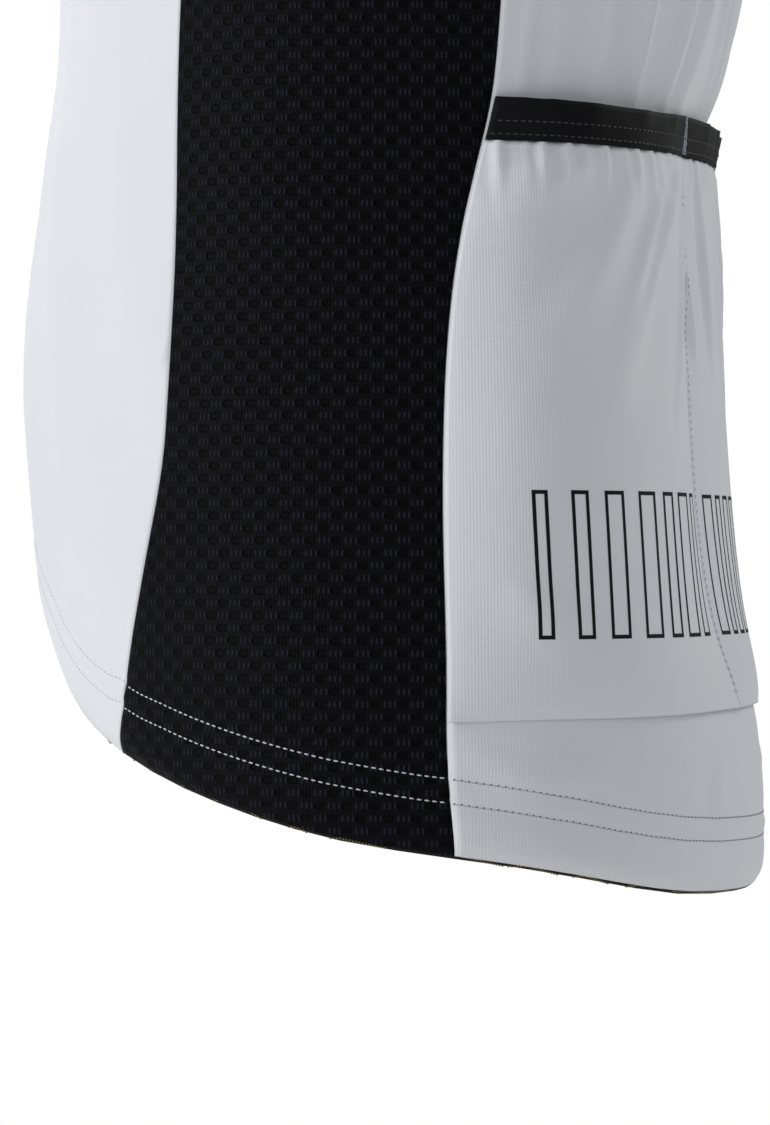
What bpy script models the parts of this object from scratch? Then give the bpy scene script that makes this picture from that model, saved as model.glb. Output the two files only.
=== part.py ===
# Short-sleeved cycling jersey as worn: hollow, open at neck, cuffs, hem and pocket mouths.
# Frame: +X is the wearer's left, -Y the front, +Z up, metres. The origin lies midway
# between the two shoulder seams. Tables give millimetres, with heights measured
# up from the level of the back hem, and angles in degrees round the body:
# -90 centre front, 0 wearer's left side, 90 centre back, 180 wearer's right side.

import math

import bmesh
import bpy
from mathutils import Vector

MM = 0.001

# Cloth, elastic and seams
CLOTH = 1.2            # wall of the knitted panels
BAND_WALL = 1.6        # pocket elastic
GRIPPER_WALL = 1.0     # elastic inside the hem
SEAM_GAP = 0.3         # clearance between pieces sewn to each other
SQUARENESS = 2.25      # exponent of the body's rounded sections

# Torso sections of the outer cloth
TORSO = (
    # height, half width, front depth, back depth
    (-5, 172, 98, 115),
    (22, 171, 101, 116.5),
    (58, 168, 103.5, 114),
    (92, 164, 106, 101.5),
    (128, 161, 109.3, 97.5),
    (158, 158, 111, 96),
    (200, 154, 107.3, 94.5),
    (232, 151.5, 103.5, 95.5),
    (248, 151, 101, 101.8),
    (277, 151.5, 99.3, 107.5),
    (340, 157, 104, 115),
    (400, 168, 113, 121),
    (470, 174, 118, 122),
)

# The two seams of each side panel, as depths from the mid plane (minus is forward)
SIDE_SEAMS = (
    # height, front seam, back seam
    (15, -79, 20),
    (49, -76, 17),
    (78, -72, 17),
    (106, -67, 16),
    (134, -61.5, 15.7),
    (176, -60, 18),
    (204, -59, 23),
    (232, -59, 30),
    (262, -58, 32.5),
    (340, -54, 38),
    (462, -46, 46),
)

# Heights of the lines that run round the body
LINES = (
    # angle, hem, pocket foot, pocket mouth
    (-90, 93, 150, 246),
    (-80, 88, 146, 245),
    (-70, 76.5, 138, 243),
    (-61, 62, 128, 241),
    (-45, 48.5, 102, 238),
    (-21, 34.5, 76, 235),
    (0, 25, 60, 233),
    (19, 18.6, 59, 232),
    (43, 10, 59, 232),
    (62, 7.5, 60, 234),
    (90, 6, 60, 236),
)
RING = 462             # level at which the side panels' seams reach the armholes
UNDERARM_DIP = 17      # how far the side panel's top edge dips below that
BAND_HEIGHT = 12.5     # pocket elastic
HEM_ROWS = (0, 4, 12)  # first rows above the hem, mm
HEM_ROLL = 2.0         # how far the hem's cut edge rolls in
FOOT_SHARES = (0.5, 1.0)
POCKET_SHARES = (0.06, 0.16, 0.34, 0.55, 0.74, 0.88, 1.0)
UPPER_SHARES = (0.06, 0.16, 0.32, 0.52, 0.75, 1.0)
YOKE_ROWS = 7          # rows from the ring to the shoulder and neck

# Columns of each panel
NECK_COLUMNS = 4
SHOULDER_COLUMNS = 6
SIDE_COLUMNS = 8
DIVIDER_ANGLE = 63.5   # seam between a side pocket and the middle pocket

# Broad folds of the worn cloth: plus stands out, minus sinks in
FOLDS = (
    # angle, lower height, upper height, half width in degrees, depth
    (-62, 105, 250, 10, 1.6),
    (-42, 190, 330, 8, -1.4),
    (-70, 250, 400, 8, 1.8),
    (34, 242, 340, 8, -1.8),
    (50, 242, 360, 8, 2.2),
    (74, 244, 330, 7, -1.8),
    (97, 244, 370, 9, 1.9),
    (121, 242, 330, 8, -2.2),
    (139, 242, 350, 8, 1.8),
    (222, 180, 320, 9, -1.5),
    (246, 105, 240, 10, 1.7),
    (203, 120, 260, 8, 1.0),
    (-14, 150, 320, 9, 1.0),
)

# Yoke: neck, shoulders and armholes of the wearer's left side (x, depth, height)
ZIP_HALF = 4.5         # half of the slot that shows the zip
FRONT_NECK = (ZIP_HALF, -62, 597)
SIDE_NECK = (66, 12, 668)
BACK_NECK = (0, 68, 660)
SHOULDER_POINT = (203, 6, 627)
SHOULDER_CROWN = 3     # how far the shoulder seam arches
FRONT_ARMHOLE = ((161, -60, 512), (171, -57, 562), (188, -34, 604))
BACK_ARMHOLE = ((168, 66, 512), (178, 66, 562), (193, 44, 604))

# Sleeves and collar
SLEEVE_DROP = math.radians(42)   # below the horizontal
SLEEVE_FORWARD = 0.10
SLEEVE_LENGTH = 262              # down the outside, from the shoulder point
CUFF_RADIUS = 50
SLEEVE_ROWS = 8
COLLAR = (
    # share round from front to back, height, lean inwards
    (0.0, 37, 5),
    (0.5, 38, 3),
    (1.0, 42, 3),
)
COLLAR_ROWS = 3

# Pockets
POCKET_DEPTHS = {"left": 9.5, "middle": 7.4, "right": 9.3}  # fullest stand-off from the back
POCKET_SWELL = (
    # share from foot to mouth, share of the depth
    (0.0, 0.0),
    (0.06, 0.45),
    (0.16, 0.8),
    (0.34, 1.0),
    (0.7, 0.88),
    (1.0, 0.74),
)

# Hem gripper
GRIPPER_DROP = 1.4     # how far its lower edge shows below the hem

# Zip
TAPE_EDGE = (0.9, 12)  # inner and outer edge from the mid plane
TAPE_WALL = 1.0
TAPE_DEPTH = 1.7       # its front face below the cloth's outer face
COIL_HALF = 2.2
COIL_DEPTHS = (0.2, 1.4)
BOX_SIZE = (3.4, 8.0)  # half width and height of the foot box
BOX_DEPTHS = (-0.7, 1.4)
SLIDER_LENGTH = 11
SLIDER_TOP = 3.0       # below the collar's top edge
SLIDER_PROFILE = (
    # half width, depth at which it changes: front plate, neck, back plate
    (4.6, -2.4),
    (4.6, -0.4),
    (0.55, -0.4),
    (0.55, 3.1),
    (4.0, 3.1),
    (4.0, 4.2),
)
BRIDGE_FEET = (-4.2, 4.2)
BRIDGE_HEIGHT = 2.9
BRIDGE_WALL = 0.9
BRIDGE_HALF = 1.1
HINGE_ALONG = -1.9     # from the slider's middle, down the zip
HINGE_RISE = 1.0       # in front of the front plate
TAB_LENGTH = 23
TAB_HALF = 3.6
TAB_TIP_HALF = 2.9
TAB_HALF_WALL = 0.6
TAB_HOLE_HALF = 1.5
TAB_HOLE_END = 7.0

COLOURS = {
    # linear colour, roughness, metallic
    "white knit": ((0.78, 0.80, 0.84), 0.62, 0.0),
    "black mesh": ((0.010, 0.010, 0.013), 0.75, 0.0),
    "black elastic": ((0.012, 0.012, 0.012), 0.7, 0.0),
    "gripper elastic": ((0.016, 0.015, 0.013), 0.6, 0.0),
    "zip tape": ((0.70, 0.72, 0.76), 0.7, 0.0),
    "zip coil": ((0.74, 0.76, 0.79), 0.4, 0.0),
    "zip metal": ((0.62, 0.62, 0.64), 0.3, 1.0),
}


def smooth(rows, at):
    """Values of a table at a key, on a smooth curve through its rows."""
    keys = [row[0] for row in rows]
    if at <= keys[0]:
        return rows[0][1:]
    if at >= keys[-1]:
        return rows[-1][1:]
    i = max(k for k in range(len(keys) - 1) if keys[k] <= at)
    span = keys[i + 1] - keys[i]
    t = (at - keys[i]) / span
    before, after = max(i - 1, 0), min(i + 2, len(rows) - 1)
    values = []
    for c in range(1, len(rows[0])):
        low, high = rows[i][c], rows[i + 1][c]
        slope_low = (high - rows[before][c]) / (keys[i + 1] - keys[before]) * span
        slope_high = (rows[after][c] - low) / (keys[after] - keys[i]) * span
        values.append(hermite(low, slope_low, high, slope_high, t))
    return values


def hermite(start, start_slope, end, end_slope, t):
    t2, t3 = t * t, t * t * t
    return (start * (2 * t3 - 3 * t2 + 1) + start_slope * (t3 - 2 * t2 + t)
            + end * (3 * t2 - 2 * t3) + end_slope * (t3 - t2))


def lerp(a, b, t):
    return a + (b - a) * t


def mirrored(p):
    return Vector((-p.x, p.y, p.z))


# ---- torso surface

def folded_angle(angle):
    """The matching angle on the wearer's left side."""
    return 180 - angle if angle > 90 else angle


def fold_height(angle, height):
    total = 0.0
    for centre, low, high, half_width, depth in FOLDS:
        across = (angle - centre) / half_width
        along = (height - low) / (high - low)
        if 0 < along < 1:
            total += depth * math.exp(-across * across) * math.sin(math.pi * along) ** 2
    return total


def body_point(angle, height, inset=0.0):
    half_width, front, back = smooth(TORSO, height)
    s, c = math.sin(math.radians(angle)), math.cos(math.radians(angle))
    grow = fold_height(angle, height) - inset
    power = 2.0 / SQUARENESS
    depth = (front if s < 0 else back) + grow
    return Vector((math.copysign(abs(c) ** power, c) * (half_width + grow),
                   math.copysign(abs(s) ** power, s) * depth, height))


def seam_angle(height, column):
    """Angle of a side seam at a height: column 0 is the front seam, 1 the back one."""
    depth = smooth(SIDE_SEAMS, height)[column]
    half_width, front, back = smooth(TORSO, height)
    reach = front if depth < 0 else back
    return math.copysign(math.degrees(math.asin((abs(depth) / reach) ** (SQUARENESS / 2))), depth)


def level_height(level, angle, top=RING):
    hem, foot, mouth = smooth(LINES, folded_angle(angle))
    band_foot = mouth - BAND_HEIGHT
    heights = [hem + rise for rise in HEM_ROWS]
    heights += [lerp(heights[-1], foot, share) for share in FOOT_SHARES]
    heights += [lerp(foot, band_foot, share) for share in POCKET_SHARES]
    heights.append(mouth)
    heights += [lerp(mouth, top, share) for share in UPPER_SHARES]
    return heights[level]


FOOT_LEVEL = len(HEM_ROWS) + len(FOOT_SHARES) - 1
BAND_LEVEL = FOOT_LEVEL + len(POCKET_SHARES)
MOUTH_LEVEL = BAND_LEVEL + 1
RING_LEVEL = MOUTH_LEVEL + len(UPPER_SHARES)


def seam_at(level, column):
    """Angle of a side seam on a level, found together with the level's height there."""
    angle = (-35, 15)[column]
    for _ in range(12):
        angle = seam_angle(level_height(level, angle), column)
    return angle


FRONT_SEAM = [seam_at(level, 0) for level in range(RING_LEVEL + 1)]
BACK_SEAM = [seam_at(level, 1) for level in range(RING_LEVEL + 1)]


def level_row(level, angles, dip=0.0):
    row = []
    for i, angle in enumerate(angles):
        top = RING - dip * math.sin(math.pi * i / (len(angles) - 1))
        inset = HEM_ROLL if level == 0 else 0.0
        row.append(body_point(angle, level_height(level, angle, top), inset))
    return row


def spread(start, end, count):
    return [lerp(start, end, i / count) for i in range(count + 1)]


def back_angles(level):
    side = spread(BACK_SEAM[level], DIVIDER_ANGLE, SHOULDER_COLUMNS)
    middle = spread(DIVIDER_ANGLE, 180 - DIVIDER_ANGLE, 2 * NECK_COLUMNS)
    return side + middle[1:-1] + [180 - angle for angle in reversed(side)]


# ---- yoke, from the ring up to the neck and shoulders

def lifted(point, mid_rise, share):
    """A straight seam given a slight arch."""
    return point + Vector((0, 0, mid_rise * math.sin(math.pi * share)))


def neck_and_shoulder(neck_start, start_way, side_way):
    """Top edge of a yoke panel: the neckline, then the shoulder seam outwards."""
    side, tip = Vector(SIDE_NECK), Vector(SHOULDER_POINT)
    start = Vector(neck_start)
    length = (side - start).length
    neck = [hermite(start, start_way * length, side, side_way * length, i / NECK_COLUMNS)
            for i in range(NECK_COLUMNS)]
    seam = [lifted(side.lerp(tip, i / SHOULDER_COLUMNS), SHOULDER_CROWN, i / SHOULDER_COLUMNS)
            for i in range(SHOULDER_COLUMNS + 1)]
    return neck + seam


def through(points, share):
    """A smooth curve through a few points, by share of its length."""
    lengths = [0.0]
    for a, b in zip(points, points[1:]):
        lengths.append(lengths[-1] + (b - a).length)
    rows = [(length, p.x, p.y, p.z) for length, p in zip(lengths, points)]
    return Vector(smooth(rows, share * lengths[-1]))


def yoke(ring, below, top, rise_at_neck, rise_at_shoulder, armhole):
    """Rows from the ring to the top edge. The last column runs up the armhole."""
    rows = []
    columns = len(ring) - 1
    armhole_line = [ring[-1]] + [Vector(p) for p in armhole] + [top[-1]]
    for r in range(1, YOKE_ROWS + 1):
        t = r / YOKE_ROWS
        row = []
        for c in range(columns + 1):
            length = (top[c] - ring[c]).length
            up = (ring[c] - below[c]).normalized() * length
            over = rise_at_neck.lerp(rise_at_shoulder, min(c / NECK_COLUMNS, 1.0)).normalized()
            row.append(hermite(ring[c], up, top[c], over * length, t))
        shift = through(armhole_line, t) - row[-1]
        rows.append([p + shift * (c / columns) ** 3 for c, p in enumerate(row)])
    return rows


# ---- outer grids of the welded skin, by panel

def front_left_grid():
    rows = []
    for level in range(RING_LEVEL + 1):
        angles = spread(-90, FRONT_SEAM[level], NECK_COLUMNS + SHOULDER_COLUMNS)
        row = level_row(level, angles)
        row[0].x = ZIP_HALF
        rows.append(row)
    top = neck_and_shoulder(FRONT_NECK, Vector((1.0, 0.05, 0.1)), Vector((0.1, 0.9, 0.75)))
    return rows + yoke(rows[-1], rows[-2], top, Vector((0, 0.45, 0.9)),
                       Vector((0, 0.82, 0.5)), FRONT_ARMHOLE)


def turned_right(grid):
    return [[mirrored(p) for p in reversed(row)] for row in grid]


def front_right_grid(left):
    rows = []
    for level in range(RING_LEVEL + 1):
        angles = spread(180 - FRONT_SEAM[level], 270, NECK_COLUMNS + SHOULDER_COLUMNS)
        row = level_row(level, angles)
        row[-1].x = -ZIP_HALF
        rows.append(row)
    return rows + turned_right(left)[RING_LEVEL + 1:]


def side_grid(right):
    rows = []
    for level in range(RING_LEVEL + 1):
        ends = (FRONT_SEAM[level], BACK_SEAM[level])
        if right:
            ends = (180 - ends[1], 180 - ends[0])
        rows.append(level_row(level, spread(*ends, SIDE_COLUMNS), UNDERARM_DIP))
    return rows


def back_grid():
    rows = [level_row(level, back_angles(level)) for level in range(RING_LEVEL + 1)]
    top = neck_and_shoulder(BACK_NECK, Vector((1.0, -0.05, 0.02)), Vector((0.15, -1.0, 0.1)))
    half = NECK_COLUMNS + SHOULDER_COLUMNS
    ring, below = rows[-1][half::-1], rows[-2][half::-1]
    for row in yoke(ring, below, top, Vector((0, -0.5, 0.86)), Vector((0, -0.82, 0.5)),
                    BACK_ARMHOLE):
        rows.append(row[:0:-1] + [mirrored(p) for p in row])
    return rows


def sleeve_grid(front, side, back):
    """Left sleeve: up the back of the armhole, down its front, then under the arm."""
    up_back = [row[0] for row in back[RING_LEVEL:]]
    down_front = [row[-1] for row in reversed(front[RING_LEVEL:-1])]
    under = side[-1][1:-1]
    loop = up_back + down_front + under
    crown = len(up_back) - 1
    under_arm = len(up_back) + len(down_front) + len(under) // 2
    axis = Vector((math.cos(SLEEVE_DROP), -SLEEVE_FORWARD, -math.sin(SLEEVE_DROP))).normalized()
    outward = Vector((math.sin(SLEEVE_DROP), 0, math.cos(SLEEVE_DROP)))
    outward = (outward - axis * outward.dot(axis)).normalized()
    forward = axis.cross(outward).normalized()
    if forward.y > 0:
        forward.negate()
    centre = Vector(SHOULDER_POINT) + axis * SLEEVE_LENGTH - outward * CUFF_RADIUS
    turns = loop_turns(loop, crown, under_arm)
    rows = []
    for r in range(SLEEVE_ROWS + 1):
        t = r / SLEEVE_ROWS
        row = []
        for p, turn in zip(loop, turns):
            ring_way = outward * math.cos(turn) + forward * math.sin(turn)
            cuff = centre + ring_way * CUFF_RADIUS
            length = (cuff - p).length
            lift = 0.5 + 0.5 * math.cos(turn)
            start_way = (axis + Vector((0.35, 0, 0.45)) * lift).normalized()
            start_way *= lerp(0.45, 0.9, lift) * length
            row.append(hermite(p, start_way, cuff, axis * 0.7 * length, t))
        rows.append(row)
    return rows


def loop_turns(loop, crown, under_arm):
    """Angle round the cuff for each armhole point: 0 at the crown, minus behind."""
    count = len(loop)
    steps = [(loop[(i + 1) % count] - loop[i]).length for i in range(count)]
    front = sum(steps[i] for i in range(crown, under_arm))
    back = sum(steps) - front
    turns = [0.0] * count
    run = 0.0
    for i in range(crown, under_arm):
        run += steps[i]
        turns[i + 1] = math.pi * run / front
    run = 0.0
    i = crown
    while (i - 1) % count != under_arm:
        i = (i - 1) % count
        run += steps[i]
        turns[i] = -math.pi * run / back
    return turns


def collar_grid(front, back):
    left = front[-1][:NECK_COLUMNS + 1]
    half = SHOULDER_COLUMNS
    behind = back[-1][half + 1:half + NECK_COLUMNS + 1]
    base = left + behind
    base = base + [mirrored(p) for p in reversed(base[:-1])]
    rows = [base]
    for r in range(1, COLLAR_ROWS + 1):
        t = r / COLLAR_ROWS
        row = []
        for c, p in enumerate(base):
            share = 1 - abs(c - 2 * NECK_COLUMNS) / (2 * NECK_COLUMNS)
            height, lean = smooth(COLLAR, share)
            inward = Vector((-p.x, -p.y, 0))
            inward.normalize()
            if abs(p.x) <= ZIP_HALF:
                inward.x = 0
            row.append(p + Vector((0, 0, height * t)) + inward * lean * math.sin(t * math.pi / 2))
        rows.append(row)
    return rows


# ---- normals of the welded skin

def key(p):
    return (round(p.x, 2), round(p.y, 2), round(p.z, 2))


def face_normals(grid, closed):
    """Sum of the face normals round each point of a grid."""
    columns = len(grid[0])
    sums = {}
    for r in range(len(grid) - 1):
        for c in range(columns if closed else columns - 1):
            d = (c + 1) % columns
            corners = (grid[r][c], grid[r][d], grid[r + 1][d], grid[r + 1][c])
            normal = (corners[2] - corners[0]).cross(corners[3] - corners[1])
            for p in corners:
                sums[key(p)] = sums.get(key(p), Vector((0, 0, 0))) + normal
    return sums


def weld_ways(skins):
    """Outward way at each point of the skin, shared by all the panels that meet there.

    It is longer than 1 at a bend, so that the wall keeps its thickness."""
    meeting = {}
    for grid, closed in skins:
        for k, normal in face_normals(grid, closed).items():
            meeting.setdefault(k, []).append(normal.normalized())
    ways = {}
    for k, found in meeting.items():
        faces = flats(found)
        shared = sum(faces, Vector((0, 0, 0))).normalized()
        facing = sum(shared.dot(normal) for normal in faces) / len(faces)
        ways[k] = shared / max(0.6, facing)
    return ways


def flats(normals):
    """Normals with those of panels that run on into each other taken as one."""
    groups = []
    for normal in normals:
        for group in groups:
            if group[0].dot(normal) > 0.8:
                group.append(normal)
                break
        else:
            groups.append([normal])
    return [sum(group, Vector((0, 0, 0))).normalized() for group in groups]


def ways_of(grid, ways):
    return [[ways[key(p)] for p in row] for row in grid]


# ---- solids

def trimmed(grid, closed=False, bottom=True, top=True, sides=True, share=0.5):
    """A grid drawn back at its edges by its share of the seam gap."""
    step = SEAM_GAP * share
    result = [[p.copy() for p in row] for row in grid]

    def pull(p, towards):
        p += (towards - p).normalized() * step

    if bottom:
        for c, p in enumerate(result[0]):
            pull(p, grid[1][c])
    if top:
        for c, p in enumerate(result[-1]):
            pull(p, grid[-2][c])
    if sides and not closed:
        for r, row in enumerate(result):
            pull(row[0], grid[r][1])
            pull(row[-1], grid[r][-2])
    return result


def offset(grid, ways, distance):
    return [[p + way * distance for p, way in zip(row, line)] for row, line in zip(grid, ways)]


def add_mesh(name, points, faces, colour):
    mesh = bpy.data.meshes.new(name)
    origin = Vector((0, (SIDE_NECK[1] + SHOULDER_POINT[1]) / 2,
                     (SIDE_NECK[2] + SHOULDER_POINT[2]) / 2))
    mesh.from_pydata([(p - origin) * MM for p in points], [], faces)
    mesh.update()
    mesh.shade_smooth()
    mesh.set_sharp_from_angle(angle=math.radians(50))
    piece = bpy.data.objects.new(name, mesh)
    bpy.context.scene.collection.objects.link(piece)
    mesh.materials.append(material(colour))
    return piece


def material(name):
    if name in bpy.data.materials:
        return bpy.data.materials[name]
    colour, roughness, metallic = COLOURS[name]
    made = bpy.data.materials.new(name)
    made.use_nodes = True
    shader = made.node_tree.nodes["Principled BSDF"]
    shader.inputs["Base Color"].default_value = (*colour, 1)
    shader.inputs["Roughness"].default_value = roughness
    shader.inputs["Metallic"].default_value = metallic
    return made


def shell(name, outer, inner, colour, closed=False):
    """A wall between two grids of the same size, closed round its rim."""
    rows, columns = len(outer), len(outer[0])
    count = rows * columns
    points = [p for row in outer for p in row] + [p for row in inner for p in row]

    def at(r, c, side):
        return side * count + r * columns + c % columns

    faces = []
    spans = columns if closed else columns - 1
    for r in range(rows - 1):
        for c in range(spans):
            a, b = (r, c), (r, c + 1)
            u, v = (r + 1, c + 1), (r + 1, c)
            faces.append((at(*a, 0), at(*b, 0), at(*u, 0)))
            faces.append((at(*a, 0), at(*u, 0), at(*v, 0)))
            faces.append((at(*a, 1), at(*u, 1), at(*b, 1)))
            faces.append((at(*a, 1), at(*v, 1), at(*u, 1)))

    def rim(a, b):
        """Edge between two neighbours, split from the lower one's outer point on every panel."""
        ring = [at(*a, 0), at(*b, 0), at(*b, 1), at(*a, 1)]
        if points[ring[1]].z < points[ring[0]].z:
            ring = ring[1:] + ring[:1]
        faces.append((ring[0], ring[1], ring[2]))
        faces.append((ring[0], ring[2], ring[3]))

    last, end = rows - 1, columns - 1
    for c in range(spans):
        rim((0, c + 1), (0, c))
        rim((last, c), (last, c + 1))
    if not closed:
        for r in range(last):
            rim((r, 0), (r + 1, 0))
            rim((r + 1, end), (r, end))
    return add_mesh(name, points, faces, colour)


def panel(name, grid, ways, colour, closed=False, **edges):
    outer = trimmed(grid, closed, **edges)
    return shell(name, outer, offset(outer, ways_of(grid, ways), -CLOTH), colour, closed)


# ---- pockets and their elastic

def part_of(grid, rows, columns):
    return [row[columns[0]:columns[1] + 1] for row in grid[rows[0]:rows[1] + 1]]


def swell(name, column, columns, level):
    """How far a pocket stands off the back at a column of its own and a level."""
    across = math.sin(math.pi * column / columns) ** 0.75
    steps = [level_height(k, DIVIDER_ANGLE) for k in (FOOT_LEVEL, level, MOUTH_LEVEL)]
    along = (steps[1] - steps[0]) / (steps[2] - steps[0])
    return POCKET_DEPTHS[name] * across * smooth(POCKET_SWELL, along)[0]


def standing_off(name, grid, lines, first_level, extra):
    columns = len(grid[0]) - 1
    raised = []
    for r, (row, line) in enumerate(zip(grid, lines)):
        level = first_level + r
        raised.append([p + way * (SEAM_GAP + extra + swell(name, c, columns, level))
                       for c, (p, way) in enumerate(zip(row, line))])
    return raised


def pocket(name, back, ways, columns):
    for piece, rows, wall, colour in (
            ("pocket_" + name, (FOOT_LEVEL, BAND_LEVEL), CLOTH, "white knit"),
            ("pocket_band_" + name, (BAND_LEVEL, MOUTH_LEVEL), BAND_WALL, "black elastic")):
        grid = part_of(back, rows, columns)
        lines = ways_of(grid, ways)
        grid = trimmed(grid)
        outer = standing_off(name, grid, lines, rows[0], wall)
        inner = standing_off(name, grid, lines, rows[0], 0.0)
        shell(piece, outer, inner, colour)


# ---- hem gripper

def gripper(skins, ways):
    """Elastic inside the hem, from one zip tape round to the other."""
    rows = len(HEM_ROWS)
    joined = [[] for _ in range(rows)]
    for grid in skins:
        for r in range(rows):
            keep = slice(None) if not joined[r] else slice(1, None)
            joined[r] += grid[r][keep]
    lines = ways_of(joined, ways)
    joined = [[p.copy() for p in row] for row in joined]
    clear = (TAPE_EDGE[1] + 2 * SEAM_GAP - ZIP_HALF) / (joined[0][1].x - ZIP_HALF)
    for row in joined:
        row[0] = row[0].lerp(row[1], clear)
        row[-1] = row[-1].lerp(row[-2], clear)
    lowest = [p - Vector((0, 0, GRIPPER_DROP)) for p in joined[0]]
    grid = [lowest] + joined
    lines = [lines[0]] + lines
    near, far = CLOTH + SEAM_GAP, CLOTH + SEAM_GAP + GRIPPER_WALL
    shell("hem_gripper", offset(grid, lines, -near), offset(grid, lines, -far), "gripper elastic")


# ---- zip

def zip_line(front, collar):
    """Edge of the slot from hem to collar top, with the way across and the outward way."""
    edge = [row[0] for row in front] + [row[0] for row in collar[1:]]
    across = [row[1] for row in front] + [row[1] for row in collar[1:]]
    line = []
    for i, p in enumerate(edge):
        before, after = edge[max(i - 1, 0)], edge[min(i + 1, len(edge) - 1)]
        up = (after - before).normalized()
        along = (across[i] - p).normalized()
        if i == len(front) - 1:
            along = (collar[0][1] - p).normalized()
        outward = along.cross(up).normalized()
        line.append((p, along, outward))
    return line


def tape(name, line, side):
    outer, inner = [], []
    for p, along, outward in line:
        forward = Vector((0, outward.y, outward.z)).normalized()
        edges = []
        for q, way in ((p - Vector((ZIP_HALF - TAPE_EDGE[0], 0, 0)), forward), (p, forward),
                       (p + along * (TAPE_EDGE[1] - ZIP_HALF), outward)):
            edges.append((q - way * TAPE_DEPTH, q - way * (TAPE_DEPTH + TAPE_WALL)))
        if side < 0:
            edges = [(mirrored(a), mirrored(b)) for a, b in reversed(edges)]
        outer.append([a for a, _ in edges])
        inner.append([b for _, b in edges])
    shell(name, outer, inner, "zip tape")


def centre_line(line):
    """The zip's own middle: points on the mid plane with a forward way."""
    middle = []
    for p, _, outward in line:
        forward = Vector((0, outward.y, outward.z)).normalized()
        middle.append((Vector((0, p.y, p.z)), forward))
    return middle


def strip(name, middle, half, depths, colour):
    outer, inner = [], []
    for p, forward in middle:
        outer.append([p + Vector((x, 0, 0)) - forward * depths[0] for x in (-half, half)])
        inner.append([p + Vector((x, 0, 0)) - forward * depths[1] for x in (-half, half)])
    shell(name, outer, inner, colour)


def cut_line(middle, low, high):
    """The stretch of the middle between two lengths from its foot."""
    run, rows = 0.0, []
    for i, (p, forward) in enumerate(middle):
        if i:
            run += (p - middle[i - 1][0]).length
        rows.append((run, *p, *forward))
    inside = [row[0] for row in rows if low + 1 < row[0] < high - 1]
    stretch = []
    for at in [low] + inside + [high]:
        k = max(i for i in range(len(rows) - 1) if rows[i][0] <= at)
        t = (at - rows[k][0]) / (rows[k + 1][0] - rows[k][0])
        values = [lerp(a, b, t) for a, b in zip(rows[k][1:], rows[k + 1][1:])]
        stretch.append((Vector(values[:3]), Vector(values[3:]).normalized()))
    return stretch, rows[-1][0]


def prism(name, outline, half_width, place, colour):
    """An outline of (along the zip, rise) points made as wide as twice half_width."""
    count = len(outline)
    points = [place(x, a, d) for x in (-half_width, half_width) for a, d in outline]
    faces = [tuple(range(count)), tuple(range(2 * count - 1, count - 1, -1))]
    faces += [(i, i + count, (i + 1) % count + count, (i + 1) % count) for i in range(count)]
    return outward_faces(add_mesh(name, points, faces, colour))


def outward_faces(piece):
    work = bmesh.new()
    work.from_mesh(piece.data)
    bmesh.ops.recalc_face_normals(work, faces=work.faces)
    work.to_mesh(piece.data)
    work.free()
    return piece


def combined(piece, other, operation):
    """Boolean of two pieces, kept in the first one."""
    change = piece.modifiers.new("join", "BOOLEAN")
    change.operation = operation
    change.solver = "EXACT"
    change.object = other
    depsgraph = bpy.context.evaluated_depsgraph_get()
    made = bpy.data.meshes.new_from_object(piece.evaluated_get(depsgraph))
    piece.modifiers.clear()
    piece.data = made
    bpy.data.objects.remove(other)
    return piece


def slider_and_tab(middle, length):
    stretch, _ = cut_line(middle, length - SLIDER_TOP - SLIDER_LENGTH, length - SLIDER_TOP)
    (low, forward), (high, _) = stretch[0], stretch[-1]
    up = (high - low).normalized()
    forward = (forward - up * forward.dot(up)).normalized()
    centre = (low + high) / 2

    def place(x, along, rise):
        return centre + Vector((x, 0, 0)) + up * along + forward * rise

    half = SLIDER_LENGTH / 2
    right = [(width, -depth) for width, depth in SLIDER_PROFILE]
    section = right + [(-width, rise) for width, rise in reversed(right)]
    points = [place(x, along, rise) for along in (-half, half) for x, rise in section]
    count = len(section)
    faces = [tuple(range(count)), tuple(range(2 * count - 1, count - 1, -1))]
    faces += [(i, i + count, (i + 1) % count + count, (i + 1) % count) for i in range(count)]
    slider = outward_faces(add_mesh("zip_slider", points, faces, "zip metal"))

    plate = -SLIDER_PROFILE[0][1]
    foot, head = BRIDGE_FEET
    top, wall = plate + BRIDGE_HEIGHT, BRIDGE_WALL
    arch = ((foot, plate - wall), (foot, top - wall), (foot + wall, top), (head - wall, top),
            (head, top - wall), (head, plate - wall), (head - wall, plate - wall),
            (head - wall, top - wall), (foot + wall, top - wall), (foot + wall, plate - wall))
    combined(slider, prism("bridge", arch, BRIDGE_HALF, place, "zip metal"), "UNION")

    hinge = plate + HINGE_RISE
    near, far = hinge - TAB_HALF_WALL, hinge + TAB_HALF_WALL
    outline = [(-TAB_HALF, TAB_HALF_WALL), (TAB_HALF, TAB_HALF_WALL), (TAB_HALF, -TAB_HOLE_END)]
    for k in range(7):
        turn = math.pi * k / 6
        outline.append((TAB_TIP_HALF * math.cos(turn),
                        -TAB_LENGTH + TAB_TIP_HALF - TAB_TIP_HALF * math.sin(turn)))
    outline.append((-TAB_HALF, -TAB_HOLE_END))
    tab = plate_piece("zip_pull", outline, near, far, place)
    hole = [(-TAB_HOLE_HALF, -TAB_HALF_WALL), (TAB_HOLE_HALF, -TAB_HALF_WALL),
            (TAB_HOLE_HALF, -TAB_HOLE_END), (-TAB_HOLE_HALF, -TAB_HOLE_END)]
    cutter = plate_piece("hole", hole, near - 1, far + 1, place)
    combined(tab, cutter, "DIFFERENCE")
    return place(0, HINGE_ALONG, hinge)


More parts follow.
